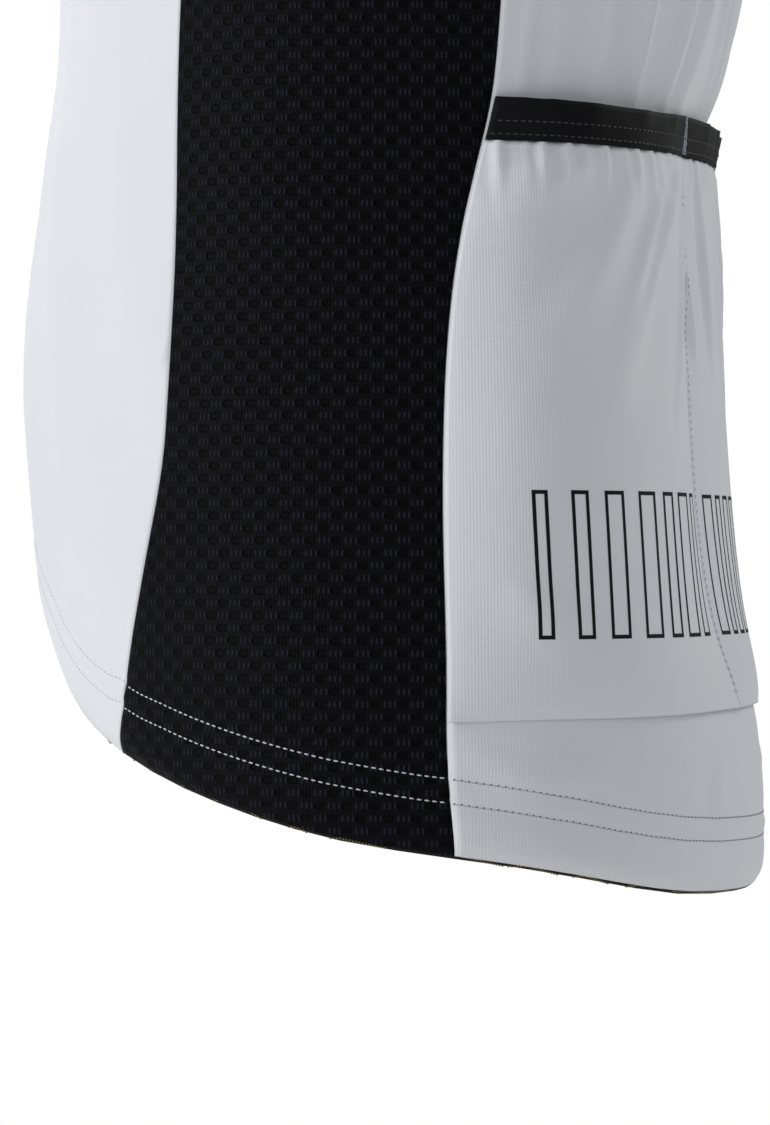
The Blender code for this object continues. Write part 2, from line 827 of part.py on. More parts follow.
def plate_piece(name, outline, near, far, place):
    """A flat plate parallel to the zip, given as (x, along from the hinge) points."""
    count = len(outline)
    points = [place(x, HINGE_ALONG + along, rise) for rise in (near, far) for x, along in outline]
    faces = [tuple(range(count)), tuple(range(2 * count - 1, count - 1, -1))]
    faces += [(i, i + count, (i + 1) % count + count, (i + 1) % count) for i in range(count)]
    return outward_faces(add_mesh(name, points, faces, "zip metal"))


def fastening(front, collar):
    line = zip_line(front, collar)
    tape("zip_tape_left", line, 1)
    tape("zip_tape_right", line, -1)
    middle = centre_line(line)
    _, length = cut_line(middle, 0, 1)
    box_top = 1 + BOX_SIZE[1]
    box, _ = cut_line(middle, 1, box_top)
    strip("zip_box", box, BOX_SIZE[0], BOX_DEPTHS, "zip metal")
    coil_top = length - SLIDER_TOP - SLIDER_LENGTH - SEAM_GAP
    coil, _ = cut_line(middle, box_top + SEAM_GAP, coil_top)
    strip("zip_coil", coil, COIL_HALF, COIL_DEPTHS, "zip coil")
    return slider_and_tab(middle, length)


def build():
    for old in list(bpy.data.objects):
        bpy.data.objects.remove(old)
    front_left = front_left_grid()
    front_right = front_right_grid(front_left)
    side_left, side_right = side_grid(False), side_grid(True)
    back = back_grid()
    sleeve_left = sleeve_grid(front_left, side_left, back)
    sleeve_right = turned_right(sleeve_left)
    collar = collar_grid(front_left, back)

    body = (front_left, side_left, back, side_right, front_right)
    ways = weld_ways([(grid, False) for grid in body + (collar,)]
                           + [(sleeve_left, True), (sleeve_right, True)])
    panel("front_panel_left", front_left, ways, "white knit", bottom=False)
    panel("front_panel_right", front_right, ways, "white knit", bottom=False)
    panel("side_panel_left", side_left, ways, "black mesh", bottom=False)
    panel("side_panel_right", side_right, ways, "black mesh", bottom=False)
    panel("back_panel", back, ways, "white knit", bottom=False)
    panel("sleeve_left", sleeve_left, ways, "white knit", closed=True, top=False)
    panel("sleeve_right", sleeve_right, ways, "white knit", closed=True, top=False)
    panel("collar", collar, ways, "white knit", top=False, sides=False, share=1.2)

    side, middle = SHOULDER_COLUMNS, 2 * NECK_COLUMNS
    pocket("left", back, ways, (0, side))
    pocket("middle", back, ways, (side, side + middle))
    pocket("right", back, ways, (side + middle, 2 * side + middle))
    gripper(body, ways)
    fastening(front_left, collar)


build()
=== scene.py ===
# Short-sleeved cycling jersey, filled out as worn: white knit, black eyelet side panels,
# three back pockets under an elastic band. X is the wearer's left, -Y the front.
import math

import bmesh
import bpy
import numpy as np
from mathutils import Matrix, Vector
from mathutils.bvhtree import BVHTree


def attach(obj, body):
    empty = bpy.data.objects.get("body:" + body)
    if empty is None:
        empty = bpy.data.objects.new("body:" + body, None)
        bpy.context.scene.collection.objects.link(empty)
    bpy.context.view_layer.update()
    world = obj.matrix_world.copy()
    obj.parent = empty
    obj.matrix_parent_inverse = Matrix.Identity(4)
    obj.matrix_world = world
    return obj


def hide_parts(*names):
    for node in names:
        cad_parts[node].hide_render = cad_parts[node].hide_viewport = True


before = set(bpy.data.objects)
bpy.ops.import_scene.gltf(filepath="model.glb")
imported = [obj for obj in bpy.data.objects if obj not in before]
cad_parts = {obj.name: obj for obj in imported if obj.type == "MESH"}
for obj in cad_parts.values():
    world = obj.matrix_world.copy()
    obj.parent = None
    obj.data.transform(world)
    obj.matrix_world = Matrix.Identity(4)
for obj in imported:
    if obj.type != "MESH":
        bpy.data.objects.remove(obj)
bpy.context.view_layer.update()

mm = 0.001
fullTurnMm = 841.5        # once round the body chart
frontMiddle = -210.4      # where the zip runs, mm round


# ways round the garment: every cloth piece is laid out in mm round and mm up

def makeChart(centre, right, ahead, up, radii, startAt=0.0):
    # round 0 lies on the right axis; distances round are measured on an ellipse of these radii
    turns = np.linspace(0.0, math.pi, 721)
    speed = np.hypot(radii[0] * np.sin(turns), radii[1] * np.cos(turns))
    steps = (speed[1:] + speed[:-1]) / 2 * (turns[1] - turns[0])
    return {"centre": Vector(centre), "right": Vector(right), "ahead": Vector(ahead), "up": Vector(up),
            "radii": radii, "turns": turns, "arcs": np.concatenate(([0.0], np.cumsum(steps))),
            "startAt": startAt}


def flatten(chart, points):
    rel = np.array(points, dtype=float).reshape(-1, 3) - np.array(chart["centre"])
    x = rel @ np.array(chart["right"]) / mm
    y = rel @ np.array(chart["ahead"]) / mm
    up = rel @ np.array(chart["up"]) / mm + chart["startAt"]
    turn = np.arctan2(y / chart["radii"][1], x / chart["radii"][0])
    around = np.copysign(np.interp(np.abs(turn), chart["turns"], chart["arcs"]), turn)
    return around, up


def rayIn(chart, around, up):
    # start, way and reach of a ray from outside towards the chart's axis
    length = chart["arcs"][-1]
    around = (around + length) % (2 * length) - length
    turn = math.copysign(float(np.interp(abs(around), chart["arcs"], chart["turns"])), around)
    out = (chart["right"] * (math.cos(turn) * chart["radii"][0])
           + chart["ahead"] * (math.sin(turn) * chart["radii"][1])) * mm
    middle = chart["centre"] + chart["up"] * ((up - chart["startAt"]) * mm)
    return middle + out * 2.5, -out.normalized(), out.length * 2.4


bodyChart = makeChart((0, 0, -0.6475), (1, 0, 0), (0, 1, 0), (0, 0, 1), (160, 105))
collarChart = makeChart((0, -0.006, -0.05), (1, 0, 0), (0, 1, 0), (0, 0, 1), (66, 64))


def sleeveChart(side):
    drop = math.radians(42)
    down = Vector((side * math.cos(drop), -0.1, -math.sin(drop))).normalized()
    ahead = Vector((0, 1, 0))
    ahead = (ahead - down * ahead.dot(down)).normalized()
    right = ahead.cross(down) * side
    return makeChart((side * 0.178, -0.002, -0.085), right, ahead, down, (58, 54))


leftSleeveChart = sleeveChart(1)
rightSleeveChart = sleeveChart(-1)


# creases: (half width, height, way of the trough beside it, ((round, up), ...)) in mm
# a plus height stands out and a minus one sinks in

bodyCreases = (
    # above the pocket band, left side of the back and on round it
    (4.0, 3.7, 1, ((79, 228), (84, 262), (90, 318))),
    (3.2, 4.1, 1, ((101, 230), (108, 262), (118, 312))),
    (3.6, 3.4, -1, ((117, 230), (127, 268), (139, 330))),
    (5.0, 2.2, 1, ((56, 228), (63, 264), (72, 330))),
    (4.2, 1.7, -1, ((41, 226), (46, 262), (50, 300))),
    (3.4, 1.4, 1, ((31, 226), (36, 258), (44, 296))),
    (3.6, 3.2, 1, ((150, 230), (156, 270), (166, 352))),
    (4.6, 2.9, -1, ((176, 230), (181, 284), (184, 330))),
    (3.4, 3.4, 1, ((203, 228), (206, 262), (203, 318))),
    (4.4, 2.7, -1, ((231, 230), (229, 276), (225, 350))),
    (3.2, 3.7, 1, ((259, 230), (254, 268), (247, 322))),
    (5.0, 2.5, -1, ((290, 229), (283, 262), (276, 316))),
    (3.6, 3.6, 1, ((318, 229), (311, 272), (300, 330))),
    (4.4, 2.4, 1, ((352, 228), (347, 266), (337, 322))),
    (3.4, 1.5, -1, ((381, 227), (377, 258), (371, 300))),
    # gathers that fan out from under the band
    (4.6, 1.5, 1, ((60, 217), (43, 208), (22, 197))),
    (5.6, 1.8, 1, ((78, 218), (62, 194), (40, 165))),
    (4.4, 1.4, -1, ((46, 218), (33, 211), (20, 206))),
    (5.2, 1.5, -1, ((90, 218), (76, 184), (58, 142))),
    (2.0, 2.0, 1, ((109, 219), (97, 203), (82, 186), (72, 168))),
    (1.7, 1.8, -1, ((116, 220), (108, 190), (98, 160), (92, 138))),
    (2.0, 1.8, 1, ((117, 204), (124, 182), (132, 160))),
    (2.6, 1.2, -1, ((97, 219), (80, 198), (66, 172))),
    (2.4, 1.7, 1, ((139, 219), (144, 196), (152, 158))),
    (3.4, 1.5, -1, ((165, 219), (167, 186), (172, 140))),
    (2.2, 1.8, 1, ((191, 219), (189, 200), (184, 168))),
    (3.8, 1.4, 1, ((222, 219), (223, 180), (231, 136))),
    (2.3, 1.8, -1, ((251, 219), (247, 188), (238, 152))),
    (2.2, 1.7, 1, ((279, 219), (271, 190), (262, 166))),
    (2.2, 2.0, -1, ((305, 219), (314, 190), (322, 158))),
    (4.8, 1.7, 1, ((334, 218), (350, 192), (371, 162))),
    (4.4, 1.4, 1, ((361, 218), (380, 206), (400, 198))),
    (5.0, 1.5, -1, ((322, 218), (340, 180), (356, 146))),
    # soft swags below the pocket seam and by the side seams
    (5.0, 1.1, 1, ((10, 51), (26, 47), (46, 49))),
    (4.2, 0.9, -1, ((14, 43), (34, 41), (58, 44))),
    (3.8, 0.9, 1, ((106, 54), (109, 42), (107, 26))),
    (6.0, 1.0, 1, ((60, 52), (88, 47), (120, 52))),
    (4.0, 1.1, -1, ((139, 56), (152, 47), (172, 44))),
    (5.4, 1.0, 1, ((196, 50), (228, 46), (262, 51))),
    (4.6, 1.0, -1, ((292, 52), (320, 45), (344, 49))),
    (5.2, 1.1, 1, ((408, 50), (394, 46), (372, 50))),
    (7.0, 0.9, 1, ((24, 98), (34, 88), (48, 78))),
    (5.0, 0.8, -1, ((398, 104), (388, 90), (370, 80))),
    # front panels: long shallow folds that fall from the chest towards the hem
    (11.0, 2.0, 1, ((-150, 236), (-132, 176), (-108, 120))),
    (9.0, 1.4, -1, ((-106, 250), (-95, 196), (-86, 150))),
    (8.0, 1.4, 1, ((-142, 120), (-122, 98), (-100, 78))),
    (9.0, 1.8, -1, ((-176, 210), (-160, 158), (-150, 112))),
    (10.0, 1.8, 1, ((-262, 240), (-276, 186), (-298, 136))),
    (9.0, 1.6, -1, ((-312, 262), (-322, 206), (-334, 158))),
    (8.0, 1.6, 1, ((-284, 128), (-306, 100), (-326, 84))),
    (9.0, 1.6, -1, ((-244, 200), (-258, 150), (-266, 118))),
    # chest and upper front, drawn from the armholes
    (8.0, 4.0, 1, ((-96, 452), (-124, 420), (-164, 396))),
    (7.0, 3.4, -1, ((-92, 424), (-116, 380), (-146, 340))),
    (6.0, 3.6, 1, ((-104, 492), (-138, 474), (-178, 470))),
    (9.0, 3.2, 1, ((-84, 372), (-104, 326), (-134, 284))),
    (6.0, 2.6, 1, ((-128, 566), (-150, 528), (-180, 500))),
    (8.0, 4.0, 1, ((-326, 450), (-300, 412), (-256, 394))),
    (7.0, 3.4, -1, ((-330, 418), (-306, 372), (-278, 336))),
    (6.0, 3.4, 1, ((-316, 496), (-284, 480), (-244, 470))),
    (9.0, 3.0, 1, ((-338, 366), (-318, 322), (-290, 280))),
    (6.0, 2.6, 1, ((-294, 560), (-272, 526), (-240, 504))),
    # upper back, between and below the shoulder blades
    (8.0, 3.6, 1, ((82, 456), (112, 420), (158, 398))),
    (7.0, 3.1, -1, ((76, 424), (98, 378), (128, 340))),
    (6.0, 2.9, 1, ((92, 498), (128, 474), (172, 462))),
    (9.0, 2.7, 1, ((196, 448), (214, 402), (208, 346))),
    (8.0, 3.6, 1, ((338, 452), (310, 424), (264, 404))),
    (7.0, 2.9, -1, ((342, 420), (322, 382), (294, 338))),
    (6.0, 2.9, 1, ((326, 502), (292, 480), (250, 468))),
    (8.0, 2.3, 1, ((150, 610), (184, 596), (226, 598))),
    (7.0, 2.2, -1, ((276, 602), (240, 580), (204, 584))),
    # side panels: faint drags between the seams
    (10.0, 0.8, 1, ((-66, 392), (-30, 404), (12, 386))),
    (9.0, 0.9, -1, ((-62, 330), (-20, 318), (20, 336))),
    (12.0, 0.9, 1, ((-70, 214), (-36, 196), (2, 178))),
    (10.0, 0.7, -1, ((-74, 146), (-40, 132), (0, 140))),
    (11.0, 0.8, 1, ((-86, 84), (-46, 72), (2, 66))),
    (10.0, 0.8, 1, ((410, 384), (-396, 402), (-360, 392))),
    (12.0, 0.9, -1, ((412, 204), (-388, 190), (-352, 210))),
)

leftSleeveCreases = (
    (6.0, 4.2, 1, ((-150, 20), (-136, 58), (-110, 96))),
    (5.0, 3.4, -1, ((-172, 34), (-168, 84), (-150, 130))),
    (6.0, 3.8, 1, ((168, 26), (150, 66), (120, 100))),
    (5.0, 3.0, -1, ((150, 10), (122, 44), (86, 62))),
    (7.0, 2.8, 1, ((-120, 118), (-82, 138), (-40, 132))),
    (6.0, 2.7, -1, ((126, 136), (88, 154), (44, 146))),
    (5.0, 2.5, 1, ((-160, 160), (-124, 172), (-90, 160))),
    (8.0, 2.3, 1, ((-30, 36), (4, 52), (42, 44))),
    (7.0, 2.1, -1, ((-52, 86), (-10, 100), (34, 92))),
    (6.0, 2.3, 1, ((170, 150), (140, 172), (96, 176))),
)

rightSleeveCreases = (
    (6.0, 4.0, 1, ((-146, 24), (-128, 64), (-100, 104))),
    (5.0, 3.2, -1, ((-170, 30), (-162, 76), (-146, 122))),
    (6.0, 4.0, 1, ((164, 18), (144, 60), (112, 92))),
    (5.0, 2.8, -1, ((146, 4), (118, 40), (80, 66))),
    (7.0, 2.7, 1, ((-112, 126), (-70, 142), (-30, 136))),
    (6.0, 2.8, -1, ((118, 128), (84, 148), (38, 140))),
    (5.0, 2.5, 1, ((-152, 154), (-120, 168), (-80, 158))),
    (8.0, 2.5, 1, ((-38, 30), (0, 48), (36, 46))),
    (7.0, 1.9, -1, ((-44, 92), (-6, 104), (40, 98))),
    (6.0, 2.3, 1, ((166, 158), (130, 176), (92, 170))),
)

collarCreases = (
    (3.0, 0.7, 1, ((-78, 8), (-70, 26), (-66, 44))),
    (4.0, 0.8, -1, ((-30, 6), (-24, 30), (-20, 56))),
    (3.5, 0.7, 1, ((34, 8), (30, 32), (34, 64))),
    (4.0, 0.6, -1, ((92, 14), (88, 44), (96, 86))),
    (3.4, 0.8, 1, ((140, 12), (146, 40), (142, 88))),
    (3.6, 0.7, -1, ((-140, 8), (-146, 24), (-142, 46))),
)


def creaseHeights(creases, around, up, fullTurn):
    total = np.zeros(len(around))
    for halfWidth, height, trough, route in creases:
        lengths = [math.dist(a, b) for a, b in zip(route, route[1:])]
        whole, gone = sum(lengths), 0.0
        best = np.full(len(around), 1e9)
        side = np.zeros(len(around))
        share = np.zeros(len(around))
        for (a, b), length in zip(zip(route, route[1:]), lengths):
            if abs(b[0] - a[0]) > fullTurn / 2:       # crosses the line where round starts again
                b = (b[0] - math.copysign(fullTurn, b[0] - a[0]), b[1])
                length = math.dist(a, b)
            way = np.array([(b[0] - a[0]) / length, (b[1] - a[1]) / length])
            across = (around - a[0] + fullTurn / 2) % fullTurn - fullTurn / 2
            along = across * way[0] + (up - a[1]) * way[1]
            kept = np.clip(along, 0, length)
            off = np.hypot(across - kept * way[0], up - a[1] - kept * way[1])
            nearer = off < best
            best = np.where(nearer, off, best)
            side = np.where(nearer, np.sign(across * way[1] - (up - a[1]) * way[0]), side)
            share = np.where(nearer, (gone + kept) / whole, share)
            gone += length
        fade = np.sin(np.pi * np.clip(share, 0.02, 0.98)) ** 0.7
        grow = 0.75 + 0.5 * share
        ridge = np.exp(-(best / (halfWidth * grow)) ** 2)
        beside = side * best * trough
        hollow = np.exp(-((beside - 2.1 * halfWidth) / (1.3 * halfWidth)) ** 2)
        total += height * fade * (ridge - 0.45 * hollow)
    return total


def linear(code):
    # linear colour from an sRGB hex
    parts = [int(code[i:i + 2], 16) / 255 for i in (1, 3, 5)]
    return tuple(p / 12.92 if p <= 0.04045 else ((p + 0.055) / 1.055) ** 2.4 for p in parts) + (1.0,)


def addNode(material, kind, settings=None, links=()):
    # a node with its settings, by property or socket, and links as (output socket, input)
    node = material.node_tree.nodes.new(kind)
    for name, value in (settings or {}).items():
        if isinstance(name, str) and name not in node.inputs:
            setattr(node, name, value)
        else:
            node.inputs[name].default_value = value
    for source, target in links:
        material.node_tree.links.new(source, node.inputs[target])
    return node


def newMaterial(name):
    material = bpy.data.materials.new(name)
    material.use_nodes = True
    material.node_tree.nodes.clear()
    return material


def finishMaterial(material, settings, links):
    shader = addNode(material, "ShaderNodeBsdfPrincipled", settings, links)
    addNode(material, "ShaderNodeOutputMaterial", None, [(shader.outputs["BSDF"], "Surface")])
    return material


knit = {"colour": "#E9EAEE", "shade": "#DFE1E7", "waleMm": 0.9, "courseMm": 0.75, "depth": 0.00012}


def knitMaterial():
    # polyester interlock, knitted fine and heat-set: reads matt, with faint upright wales
    material = newMaterial("polyesterInterlockKnitted")
    place = addNode(material, "ShaderNodeUVMap", {"uv_map": "layMm"})
    # wales are drawn at 0.9 mm, about twice as coarse as the real ones, so that they show
    wave = {"wave_type": "BANDS", "Detail": 1.0, "Detail Scale": 3.0}
    wales = addNode(material, "ShaderNodeTexWave",
                    {**wave, "bands_direction": "X", "Scale": 0.3142 / knit["waleMm"], "Distortion": 0.6},
                    [(place.outputs["UV"], "Vector")])
    courses = addNode(material, "ShaderNodeTexWave",
                      {**wave, "bands_direction": "Y", "Scale": 0.3142 / knit["courseMm"], "Distortion": 0.8},
                      [(place.outputs["UV"], "Vector")])
    fuzz = addNode(material, "ShaderNodeTexNoise", {"Scale": 1.6, "Detail": 3.0, "Roughness": 0.6},
                   [(place.outputs["UV"], "Vector")])
    clouds = addNode(material, "ShaderNodeTexNoise", {"Scale": 0.02, "Detail": 2.0, "Roughness": 0.5},
                     [(place.outputs["UV"], "Vector")])
    loops = addNode(material, "ShaderNodeMath", {"operation": "MULTIPLY_ADD", 1: 0.45},
                    [(courses.outputs["Fac"], 0), (wales.outputs["Fac"], 2)])
    relief = addNode(material, "ShaderNodeMath", {"operation": "MULTIPLY_ADD", 1: 0.8},
                     [(fuzz.outputs["Fac"], 0), (loops.outputs[0], 2)])
    bump = addNode(material, "ShaderNodeBump", {"Strength": 0.22, "Distance": knit["depth"]},
                   [(relief.outputs[0], "Height")])
    tint = addNode(material, "ShaderNodeMix",
                   {"data_type": "RGBA", 6: linear(knit["shade"]), 7: linear(knit["colour"])},
                   [(clouds.outputs["Fac"], 0)])
    return finishMaterial(material,
                          {"Roughness": 0.72, "IOR": 1.5, "Specular IOR Level": 0.3, "Sheen Weight": 0.12,
                           "Sheen Roughness": 0.5},
                          [(tint.outputs[2], "Base Color"), (bump.outputs["Normal"], "Normal")])


# hollow is painted shade: the near black laid into the oval hollows, where the openings look into the dark
# inside
eyelet = {"ground": "#08080D", "tick": "#22232F", "hollow": "#020203", "repeatMm": 7.2, "rowMm": 3.45,
          "ovalMm": (3.9, 2.4), "tickMm": (0.42, 1.5), "tickGapMm": 1.35, "ribMm": 0.9, "depth": 0.0006}


def eyeletMaterial():
    # polyester warp-knit mesh: oval hollows in staggered rows, with three raised ticks between; the hollows
    # are also painted darker, as painted shade
    material = newMaterial("polyesterEyeletMeshKnitted")
    cellMm, rowMm = eyelet["repeatMm"], eyelet["rowMm"]
    tickWide, tickTall = eyelet["tickMm"]
    ovalWide, ovalTall = eyelet["ovalMm"]
    place = addNode(material, "ShaderNodeUVMap", {"uv_map": "layMm"})
    parts = addNode(material, "ShaderNodeSeparateXYZ", None, [(place.outputs["UV"], "Vector")])
    row = addNode(material, "ShaderNodeMath", {"operation": "DIVIDE", 1: rowMm}, [(parts.outputs["Y"], 0)])
    rowNumber = addNode(material, "ShaderNodeMath", {"operation": "FLOOR"}, [(row.outputs[0], 0)])
    stagger = addNode(material, "ShaderNodeMath", {"operation": "MULTIPLY", 1: 0.5},
                      [(rowNumber.outputs[0], 0)])
    column = addNode(material, "ShaderNodeMath", {"operation": "MULTIPLY_ADD", 1: 1 / cellMm},
                     [(parts.outputs["X"], 0), (stagger.outputs[0], 2)])
    acrossShare = addNode(material, "ShaderNodeMath", {"operation": "FRACT"}, [(column.outputs[0], 0)])
    upShare = addNode(material, "ShaderNodeMath", {"operation": "FRACT"}, [(row.outputs[0], 0)])
    across = addNode(material, "ShaderNodeMath", {"operation": "SUBTRACT", 1: 0.5},
                     [(acrossShare.outputs[0], 0)])
    upward = addNode(material, "ShaderNodeMath", {"operation": "SUBTRACT", 1: 0.5}, [(upShare.outputs[0], 0)])
    ovalX = addNode(material, "ShaderNodeMath", {"operation": "MULTIPLY", 1: 2 * cellMm / ovalWide},
                    [(across.outputs[0], 0)])
    ovalY = addNode(material, "ShaderNodeMath", {"operation": "MULTIPLY", 1: 2 * rowMm / ovalTall},
                    [(upward.outputs[0], 0)])
    ovalPlace = addNode(material, "ShaderNodeCombineXYZ", None,
                        [(ovalX.outputs[0], "X"), (ovalY.outputs[0], "Y")])
    ovalReach = addNode(material, "ShaderNodeVectorMath", {"operation": "LENGTH"},
                        [(ovalPlace.outputs[0], 0)])
    hollow = addNode(material, "ShaderNodeMapRange",
                     {"interpolation_type": "SMOOTHSTEP", "From Min": 0.55, "From Max": 1.1,
                      "To Min": 1.0, "To Max": 0.0},
                     [(ovalReach.outputs["Value"], "Value")])
    # the ticks stand where two cells of a row meet, at minus one, nought and one gap from there
    edgeShare = addNode(material, "ShaderNodeMath", {"operation": "ABSOLUTE"}, [(across.outputs[0], 0)])
    fromEdge = addNode(material, "ShaderNodeMath", {"operation": "MULTIPLY_ADD", 1: -cellMm, 2: cellMm / 2},
                       [(edgeShare.outputs[0], 0)])
    nearTick = addNode(material, "ShaderNodeMath", {"operation": "PINGPONG", 1: eyelet["tickGapMm"] / 2},
                       [(fromEdge.outputs[0], 0)])
    tickAcross = addNode(material, "ShaderNodeMapRange",
                         {"interpolation_type": "SMOOTHSTEP", "From Min": tickWide * 0.35,
                          "From Max": tickWide * 0.8, "To Min": 1.0, "To Max": 0.0},
                         [(nearTick.outputs[0], "Value")])
    inGroup = addNode(material, "ShaderNodeMath", {"operation": "LESS_THAN", 1: eyelet["tickGapMm"] * 1.4},
                      [(fromEdge.outputs[0], 0)])
    upAbs = addNode(material, "ShaderNodeMath", {"operation": "ABSOLUTE"}, [(upward.outputs[0], 0)])
    tickUp = addNode(material, "ShaderNodeMapRange",
                     {"interpolation_type": "SMOOTHSTEP", "From Min": tickTall / 2 / rowMm,
                      "From Max": tickTall / 1.4 / rowMm, "To Min": 1.0, "To Max": 0.0},
                     [(upAbs.outputs[0], "Value")])
    tickBoth = addNode(material, "ShaderNodeMath", {"operation": "MULTIPLY"},
                       [(tickAcross.outputs[0], 0), (tickUp.outputs[0], 1)])
    ticks = addNode(material, "ShaderNodeMath", {"operation": "MULTIPLY"},
                    [(tickBoth.outputs[0], 0), (inGroup.outputs[0], 1)])
    ribs = addNode(material, "ShaderNodeTexWave",
                   {"wave_type": "BANDS", "bands_direction": "X", "Scale": 0.3142 / eyelet["ribMm"],
                    "Distortion": 0.3},
                   [(place.outputs["UV"], "Vector")])
    fibres = addNode(material, "ShaderNodeTexNoise", {"Scale": 1.1, "Detail": 4.0, "Roughness": 0.65},
                     [(place.outputs["UV"], "Vector")])
    ribbed = addNode(material, "ShaderNodeMath", {"operation": "MULTIPLY_ADD", 1: 0.16},
                     [(ribs.outputs["Fac"], 0), (ticks.outputs[0], 2)])
    sunk = addNode(material, "ShaderNodeMath", {"operation": "MULTIPLY_ADD", 1: -1.0},
                   [(hollow.outputs[0], 0), (ribbed.outputs[0], 2)])
    relief = addNode(material, "ShaderNodeMath", {"operation": "MULTIPLY_ADD", 1: 0.25},
                     [(fibres.outputs["Fac"], 0), (sunk.outputs[0], 2)])
    bump = addNode(material, "ShaderNodeBump", {"Strength": 0.75, "Distance": eyelet["depth"]},
                   [(relief.outputs[0], "Height")])
    raised = addNode(material, "ShaderNodeMix",
                     {"data_type": "RGBA", 6: linear(eyelet["ground"]), 7: linear(eyelet["tick"])},
                     [(ticks.outputs[0], 0)])
    # painted shade: the oval hollows take the near-black hollow colour in place of the yarn's own
    colour = addNode(material, "ShaderNodeMix", {"data_type": "RGBA", 7: linear(eyelet["hollow"])},
                     [(hollow.outputs[0], 0), (raised.outputs[2], 6)])
    return finishMaterial(material,
                          {"Roughness": 0.62, "IOR": 1.5, "Specular IOR Level": 0.07, "Sheen Weight": 0.01,
                           "Sheen Roughness": 0.4},
                          [(colour.outputs[2], "Base Color"), (bump.outputs["Normal"], "Normal")])


def threadedMaterial(name, colour, shade, periodMm, depth, settings):
    # woven or braided goods: fine cross ribs over a slow change of tone
    material = newMaterial(name)
    place = addNode(material, "ShaderNodeTexCoord")
    ribs = addNode(material, "ShaderNodeTexWave",
                   {"wave_type": "BANDS", "bands_direction": "Z", "Scale": 314.2 / periodMm,
                    "Distortion": 0.5, "Detail": 2.0},
                   [(place.outputs["Object"], "Vector")])
    grain = addNode(material, "ShaderNodeTexNoise", {"Scale": 900.0, "Detail": 3.0},
                    [(place.outputs["Object"], "Vector")])
    relief = addNode(material, "ShaderNodeMath", {"operation": "MULTIPLY_ADD", 1: 0.6},
                     [(grain.outputs["Fac"], 0), (ribs.outputs["Fac"], 2)])
    bump = addNode(material, "ShaderNodeBump", {"Strength": 0.5, "Distance": depth},
                   [(relief.outputs[0], "Height")])
    tint = addNode(material, "ShaderNodeMix", {"data_type": "RGBA", 6: linear(shade), 7: linear(colour)},
                   [(grain.outputs["Fac"], 0)])
    return finishMaterial(material, settings,
                          [(tint.outputs[2], "Base Color"), (bump.outputs["Normal"], "Normal")])


whiteKnit = knitMaterial()
blackMesh = eyeletMaterial()
# elastane binding, folded and sewn flat: near black and slightly smooth, fine cross ribs
blackElastic = threadedMaterial("elastaneBindingWoven", "#151517", "#0E0E10", 0.8, 0.00003,
                                {"Roughness": 0.7, "IOR": 1.5, "Specular IOR Level": 0.1,
                                 "Sheen Weight": 0.02})
# elastic tape under the hem, woven: dull black with a rib
gripperElastic = threadedMaterial("gripperElasticWoven", "#1B1917", "#100F0E", 1.0, 0.0001,
                                  {"Roughness": 0.7, "IOR": 1.5, "Specular IOR Level": 0.3})
# silicone, printed as beads and cured: amber and a little glossy
silicone = threadedMaterial("siliconePrinted", "#8A7A4E", "#6E5F3A", 0.6, 0.00002,
                            {"Roughness": 0.35, "IOR": 1.41})
# polyester tape, woven in herringbone: white, flatter than the knit
zipTape = threadedMaterial("polyesterTapeWoven", "#E2E4E9", "#D3D6DD", 0.7, 0.00008,
                           {"Roughness": 0.75, "IOR": 1.5, "Specular IOR Level": 0.3})
# nylon, moulded and coiled: white plastic with a soft shine
zipNylon = threadedMaterial("nylonCoilMoulded", "#E6E8EC", "#D9DBE1", 1.3, 0.00003,
                            {"Roughness": 0.38, "IOR": 1.53})
# zinc, cast and satin plated: pale grey metal with a soft highlight
zipMetal = threadedMaterial("zincCastSatin", "#C9CBD0", "#BABDC3", 2.0, 0.00001,
                            {"Roughness": 0.34, "Metallic": 1.0})
# spun polyester thread, twisted: white on black, grey on black elastic; the dark dots in white are painted
# shadow in the needle holes
spun = {"Roughness": 0.6, "IOR": 1.5}
whiteThread = threadedMaterial("polyesterThreadWhiteTwisted", "#D8DAE0", "#B9BCC4", 0.4, 0.00003, spun)
greyThread = threadedMaterial("polyesterThreadGreyTwisted", "#3C3C3F", "#2F2F32", 0.4, 0.00003, spun)
softThread = threadedMaterial("polyesterThreadPaleTwisted", "#C3C6CE", "#AEB1BB", 0.4, 0.00003,
                              {"Roughness": 0.7, "IOR": 1.5})
holeShade = threadedMaterial("threadShadowInHole", "#6B6C72", "#55565C", 0.4, 0.00002,
                             {"Roughness": 0.9, "IOR": 1.5})
# sublimation ink, pressed into the knit: dead matt near black
printInk = threadedMaterial("dyeInkPressed", "#141416", "#0D0D0F", 0.9, 0.00004,
                            {"Roughness": 0.8, "IOR": 1.5, "Specular IOR Level": 0.2})
print("materials made")


def onlySelect(piece):
    bpy.ops.object.select_all(action="DESELECT")
    piece.select_set(True)
    bpy.context.view_layer.objects.active = piece


def useModifier(piece, name, kind, settings):
    modifier = piece.modifiers.new(name, kind)
    for key, value in settings.items():
        setattr(modifier, key, value)
    onlySelect(piece)
    bpy.ops.object.modifier_apply(modifier=name)


def newPiece(name, mesh, material):
    piece = bpy.data.objects.new(name, mesh)
    bpy.context.scene.collection.objects.link(piece)
    mesh.materials.clear()
    mesh.materials.append(material)
    return piece


